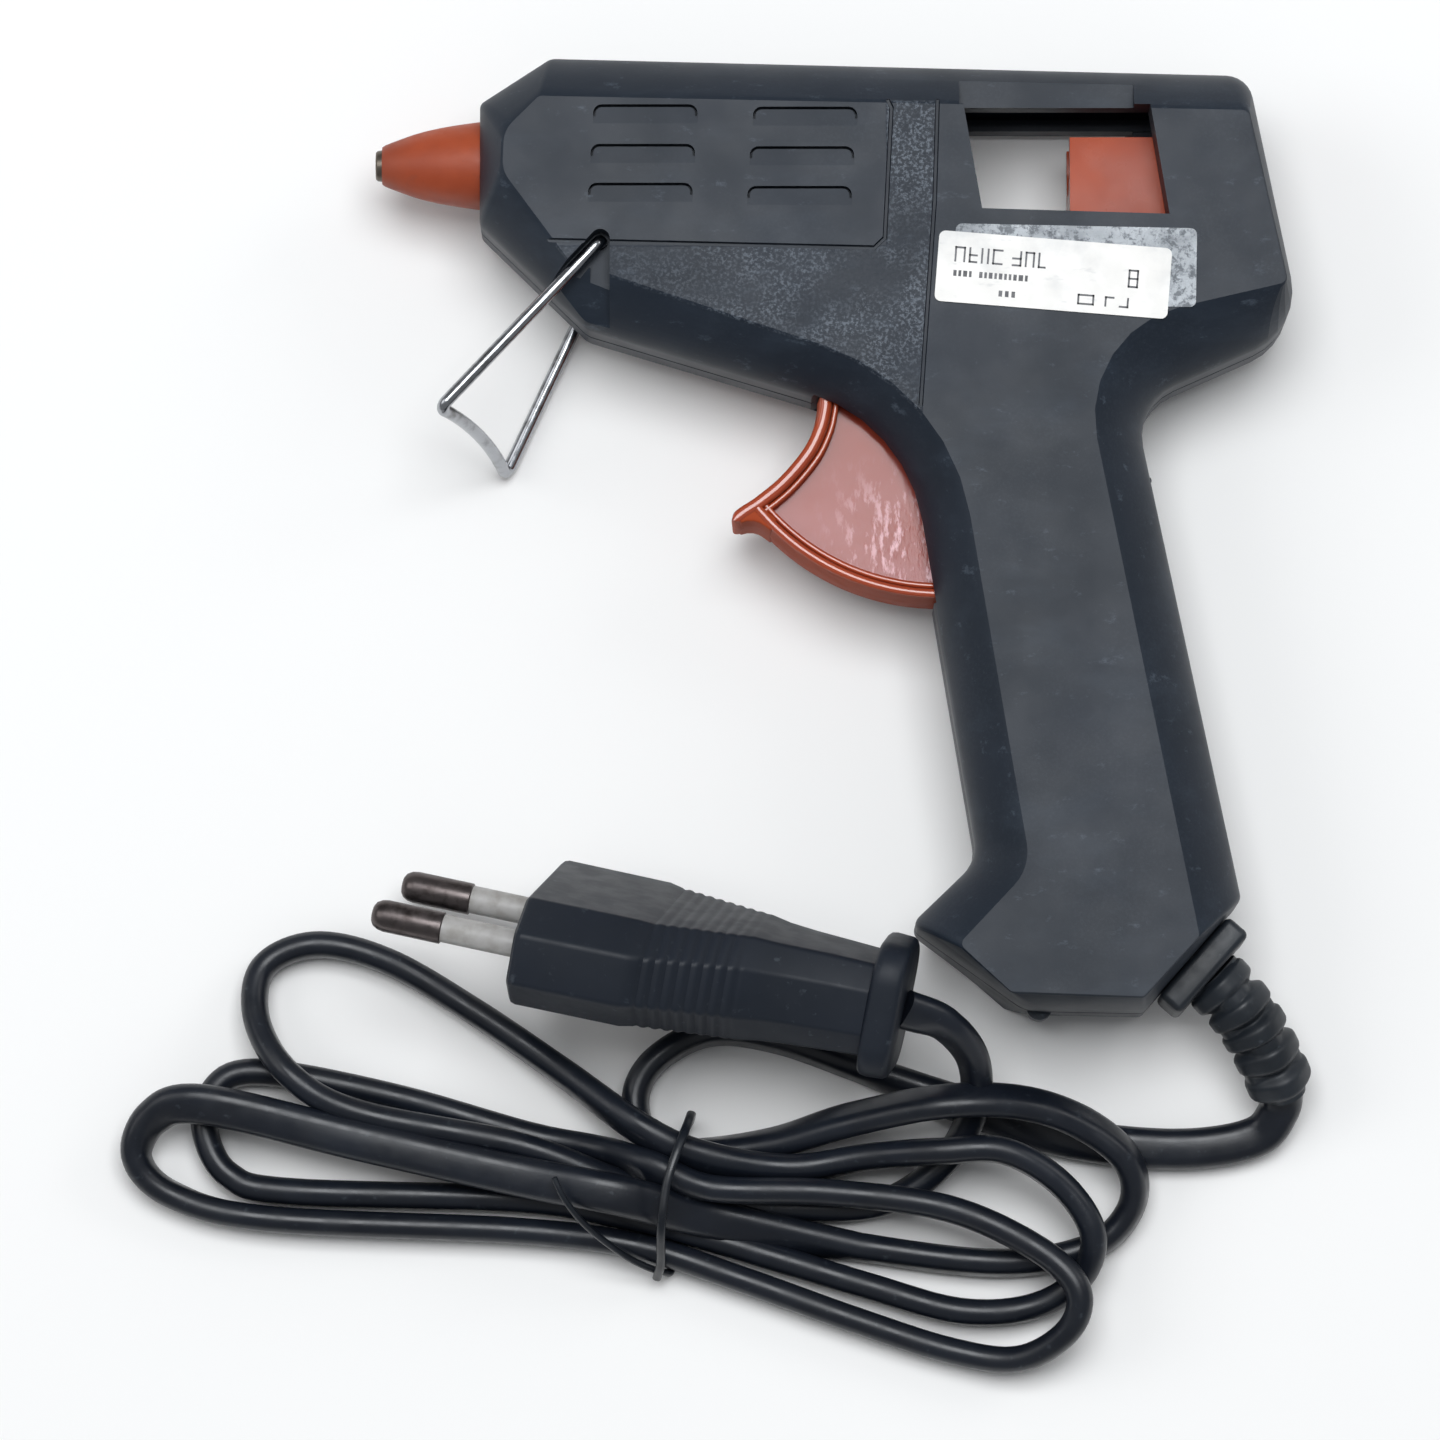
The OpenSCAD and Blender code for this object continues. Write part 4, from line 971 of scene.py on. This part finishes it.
STEP = 0.8
finger_line = catmull([[-0.75, 17.2], [-0.9, 15.6], [-1.5, 13.2], [-3.0, 10.2], [-5.9, 6.7], [-9.0, 4.1],
                       [-11.1, 2.7], [-12.3, 1.7]], 10)[0]
corner = prism("corner", [(-9.2, 3.8), (-11.7, 1.9), (-11.5, 1.35), (-10.6, 1.6), (-9.8, 1.6), (-9.1, 1.4),
                          (-8.4, 0.95), (-7.6, 0.35), (-6.9, 1.8)], 7.2, 18.75, M_ORANGE_WALL)
bevelled(corner, 0.35, 3, 40)
rim = join("trigger_rim", [
    ridge("front", finger_line, 1.05, BLADE_LOW, BLADE_HIGH, 1.1),
    ridge("front_step", beside(finger_line, 1.25)[3:52], 0.5, BLADE_LOW + STEP, BLADE_HIGH - STEP),
    ridge("low", low_arc(TRIGGER_R - 0.75, 219.3, 276), 0.75, BLADE_LOW, BLADE_HIGH),
    ridge("low_step", low_arc(TRIGGER_R - 1.8, 219.8, 275.2), 0.5, BLADE_LOW + STEP, BLADE_HIGH - STEP),
    corner], 40)
web = prism("trigger_web", blade(1.1), WEB_LOW, WEB_HIGH, M_WEB)


def slot_point(a):
    """Where the carriage's trunnion sits in the resting trigger's frame when it is pulled by a degrees."""
    p = TRUNNION - HINGE - (TRAVEL * a / PULL, 0)
    c, s = math.cos(math.radians(a)), math.sin(math.radians(a))
    return np.array([p[0] * c + p[1] * s, -p[0] * s + p[1] * c])


def slot_outline(r, steps=6):
    c = [slot_point(PULL * i / steps) for i in range(steps + 1)]
    along = [unit(c[min(i + 1, steps)] - c[max(i - 1, 0)]) for i in range(steps + 1)]
    start, finish = (math.degrees(math.atan2(v[1], v[0])) for v in (along[0], along[-1]))
    out = [c[i] + r * np.array([along[i][1], -along[i][0]]) for i in range(steps + 1)]
    out += [polar(finish - 75 + 15 * k, r, c[-1]) for k in range(11)]
    out += [c[i] - r * np.array([along[i][1], -along[i][0]]) for i in range(steps, -1, -1)]
    out += [polar(start + 105 + 15 * k, r, c[0]) for k in range(11)]
    return [p + HINGE for p in out]


def arm(z, r0=5.2, r1=3.6):
    """One arm of the fork, from the hub to round the trunnion, with the trunnion's slot."""
    d = TRUNNION - HINGE
    lie = math.degrees(math.atan2(d[1], d[0]))
    b = math.degrees(math.acos((r0 - r1) / np.linalg.norm(d)))
    out = [polar(lie + b + i * (360 - 2 * b) / 24, r0, HINGE) for i in range(25)]
    out += [polar(lie - b + i * 2 * b / 18, r1, HINGE + d) for i in range(19)]
    piece = prism("trigger_arm", out, z, z + ARM_THICK, M_ORANGE)
    return boolean(piece, prism("cut", slot_outline(SLOT_R), z - 1, z + ARM_THICK + 1))


hub_outline = [polar(7.5 * i, HUB_R, HINGE) for i in range(48)]
hub = boolean(prism("trigger_hub", hub_outline, ARMS_Z[0], ARMS_Z[1] + ARM_THICK, M_ORANGE),
              prism("cut", [polar(7.5 * i, PIN_HOLE_R, HINGE) for i in range(48)], 3, 23))
spring_bar = prism("bar", [polar(15 * i, 1.1, SPRING_BAR) for i in range(24)], 5, 21, M_ORANGE)
fork = join("trigger_fork", [arm(ARMS_Z[0]), arm(ARMS_Z[1]), hub, spring_bar], 30)
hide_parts("trigger")
for p in (rim, web, fork):
    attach(p, "trigger")

# ---------------------------------------------------------------- carriage
saddle = box_piece("carriage_saddle", (29.8, 37, BLADE_LOW), (41.2, 50.1, BLADE_HIGH), M_CARRIAGE)
boolean(saddle, box_piece("add", (41, 37, BLADE_LOW), (47, 53.2, BLADE_HIGH)), "UNION")
boolean(saddle, box_piece("add", (30, 33, BLADE_LOW), (36.6, 37.2, BLADE_HIGH)), "UNION")
boolean(saddle, tube_cutter((28, BARREL_Y, PARTING_Z), (49, BARREL_Y, PARTING_Z), STICK_BORE_R, 48))
boolean(saddle, box_piece("cut", (28, BARREL_Y, 9.1), (41, 55, 16.9)))
boolean(saddle, box_piece("cut", (35.5, 32, 10.5), (43.8, 46, 15.5)))
bevelled(saddle, 0.7, 3, 40, 30)
trunnion_outline = [polar(10 * i, TRUNNION_R, TRUNNION) for i in range(36)]
trunnions = prism("carriage_trunnion", trunnion_outline, 4.4, 21.6, M_ORANGE)
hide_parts("stick_carriage")
for p in (saddle, trunnions):
    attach(p, "carriage")

# ---------------------------------------------------------------- stand
HOOK = np.array([0, 0, 4.5])
near_top, far_top = np.array([*STAND, NEAR_LEG_Z]), np.array([*STAND, FAR_LEG_Z])
near_foot = near_top + np.array([*polar(NEAR_LEG, LEG), 0])
far_foot = far_top + np.array([*polar(FAR_LEG, LEG), 0])
# the foot bows outwards between the two legs
belly = [near_foot + (far_foot - near_foot) * u + np.array([0.75, 0.85, 0.0]) * math.sin(math.pi * u) ** 0.8
         for u in (k / 10 for k in range(1, 10))]
stand_line = eased([near_top - HOOK, near_top, near_foot, *belly, far_foot, far_top,
                    far_top + HOOK], 1.0, 6)
wire_stand = sweep("wire_stand_rod", stand_line, circle(WIRE_R, 18), M_CHROME,
                   carried(stand_line, (0.9, -0.43, 0)), 60)
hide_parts("wire_stand")
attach(wire_stand, "stand")


# ---------------------------------------------------------------- labels
def label_material(name, base, stain, metallic, rough, crinkle=0.0):
    s = Shader(name)
    colour = s.mix(s.ramp(s.noise(0.12, 5.0, 0.6), 0.42, 0.75, 0.0, 0.6), base, stain)
    colour = s.mix(s.ramp(s.noise(0.8, 4.0, 0.6, (0.3, 1.0, 1.0)), 0.6, 0.72, 0.0, 0.4), colour, stain)
    s.set(Base_Color=colour, Metallic=metallic,
          Roughness=s.ramp(s.noise(0.4, 3.0), 0.3, 0.7, rough, rough + 0.15))
    s.bump(s.noise(0.15, 3.0), 0.12, 0.5)
    if crinkle:
        creases = s.noise(0.9, 5.0, 0.72)
        # painted shade: the darker second colour is also laid along the crinkles' creases
        s.set(Base_Color=s.mix(s.ramp(creases, 0.48, 0.6, 0.0, 0.75), colour, stain))
        s.bump(creases, crinkle, 0.9)
    return s.material


M_FOIL = label_material("foil_look", rgb(176, 181, 186), rgb(70, 76, 83), 0.3, 0.26, 0.3)
M_FILM = label_material("white_film_look", rgb(236, 234, 230), rgb(186, 188, 190), 0.0, 0.34)
M_INK = plain_plastic("ink_look", rgb(44, 44, 50), rgb(78, 78, 84), 0.4)
RATING_AT = (27.4, 31.5)
RATING_TURN = -4.6
FOIL_Z = (25.96, 26.12)
FILM_Z = (26.125, 26.24)
INK_Z = (26.2, 26.255)


def placed(outline, centre, angle):
    c, s = math.cos(math.radians(angle)), math.sin(math.radians(angle))
    return [(centre[0] + x * c - y * s, centre[1] + x * s + y * c) for x, y in outline]


def sticker(name, centre, size, angle, z0, z1, material):
    w, h = size[0] / 2, size[1] / 2
    outline = rounded([(w, h, 0.8), (-w, h, 0.8), (-w, -h, 0.8), (w, -h, 0.8)], 5)
    return prism(name, placed(outline, centre, angle), z0, z1, material)


silver = sticker("silver_label_film", (30.2, 32.7), (30, 9.9), -1.2, *FOIL_Z, M_FOIL)
rating = sticker("rating_label_film", RATING_AT, (29, 8.9), RATING_TURN, *FILM_Z, M_FILM)
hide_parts("silver_label")
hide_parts("rating_label")

# plain strokes stand for the printing
marks = []
PEN = 0.24
MARGIN = -12.4


def mark(x, y, w, h):
    outline = [(x, y), (x + w, y), (x + w, y + h), (x, y + h)]
    marks.append(prism("mark", placed(outline, RATING_AT, RATING_TURN), *INK_Z, M_INK))


def figure(x, y, w, h, strokes):
    """A mark of plain strokes: l left, r right, t top, m middle, b bottom."""
    parts = {"l": (x, y, PEN, h), "r": (x + w - PEN, y, PEN, h), "t": (x, y + h - PEN, w, PEN),
             "m": (x, y + h / 2 - PEN / 2, w, PEN), "b": (x, y, w, PEN)}
    for key in strokes:
        mark(*parts[key])


x = MARGIN
for strokes, w in (("ltr", 1.35), ("lmb", 1.1), ("lr", 1.0), ("tlb", 1.3), ("", 0.3), ("rmb", 1.2),
                   ("lrt", 1.2), ("lb", 1.0)):
    figure(x, 0.65, w, 1.95, strokes)
    x += w + 0.42
x = MARGIN
for i in range(15):
    w = 0.3 + 0.3 * random.random()
    if i != 4:
        mark(x, -1.15, w, 0.75)
    x += w + 0.24
for i in range(3):
    mark(-6.6 + 0.8 * i, -3.3, 0.45, 0.75)
figure(3.2, -3.5, 2.1, 1.35, "lrtb")
figure(6.6, -3.5, 1.2, 1.3, "lt")
figure(8.4, -3.5, 1.2, 1.3, "rb")
figure(9.3, -0.9, 1.3, 2.3, "lrtmb")
printing = join("rating_label_marks", marks)
for p in (silver, rating, printing):
    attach(p, "housing")

# ---------------------------------------------------------------- floor and light
floor_mesh = bpy.data.meshes.new("floor")
floor_mesh.from_pydata([(-3, -3, 0), (3, -3, 0), (3, 3, 0), (-3, 3, 0)], [], [(0, 1, 2, 3)])
floor = bpy.data.objects.new("floor", floor_mesh)
scene.collection.objects.link(floor)
floor_shader = Shader("floor_look")
floor_shader.set(Base_Color=(0.95, 0.94, 0.925, 1.0), Roughness=0.75, Specular_IOR_Level=0.2)
floor_mesh.materials.append(floor_shader.material)

world = bpy.data.worlds.new("world")
world.use_nodes = True
world.node_tree.nodes["Background"].inputs[0].default_value = (0.93, 0.96, 1.0, 1.0)
world.node_tree.nodes["Background"].inputs[1].default_value = 0.27
scene.world = world


def lamp(name, at, size, power, colour=(1.0, 1.0, 1.0), aim=(0, 0, 0)):
    data = bpy.data.lights.new(name, "AREA")
    data.shape = "RECTANGLE"
    data.size, data.size_y = size
    data.energy = power
    data.color = colour
    obj = bpy.data.objects.new(name, data)
    obj.location = at
    obj.rotation_euler = (Vector(aim) - Vector(at)).to_track_quat("-Z", "Y").to_euler()
    scene.collection.objects.link(obj)


lamp("key", (0.0, 0.28, 1.45), (0.9, 0.7), 16.5, (0.95, 0.975, 1.0))
lamp("fill", (-1.2, 0.2, 1.1), (0.9, 0.9), 4)
lamp("rim", (1.2, 0.7, 0.9), (0.6, 0.6), 2.5)

scene.view_settings.view_transform = "Standard"
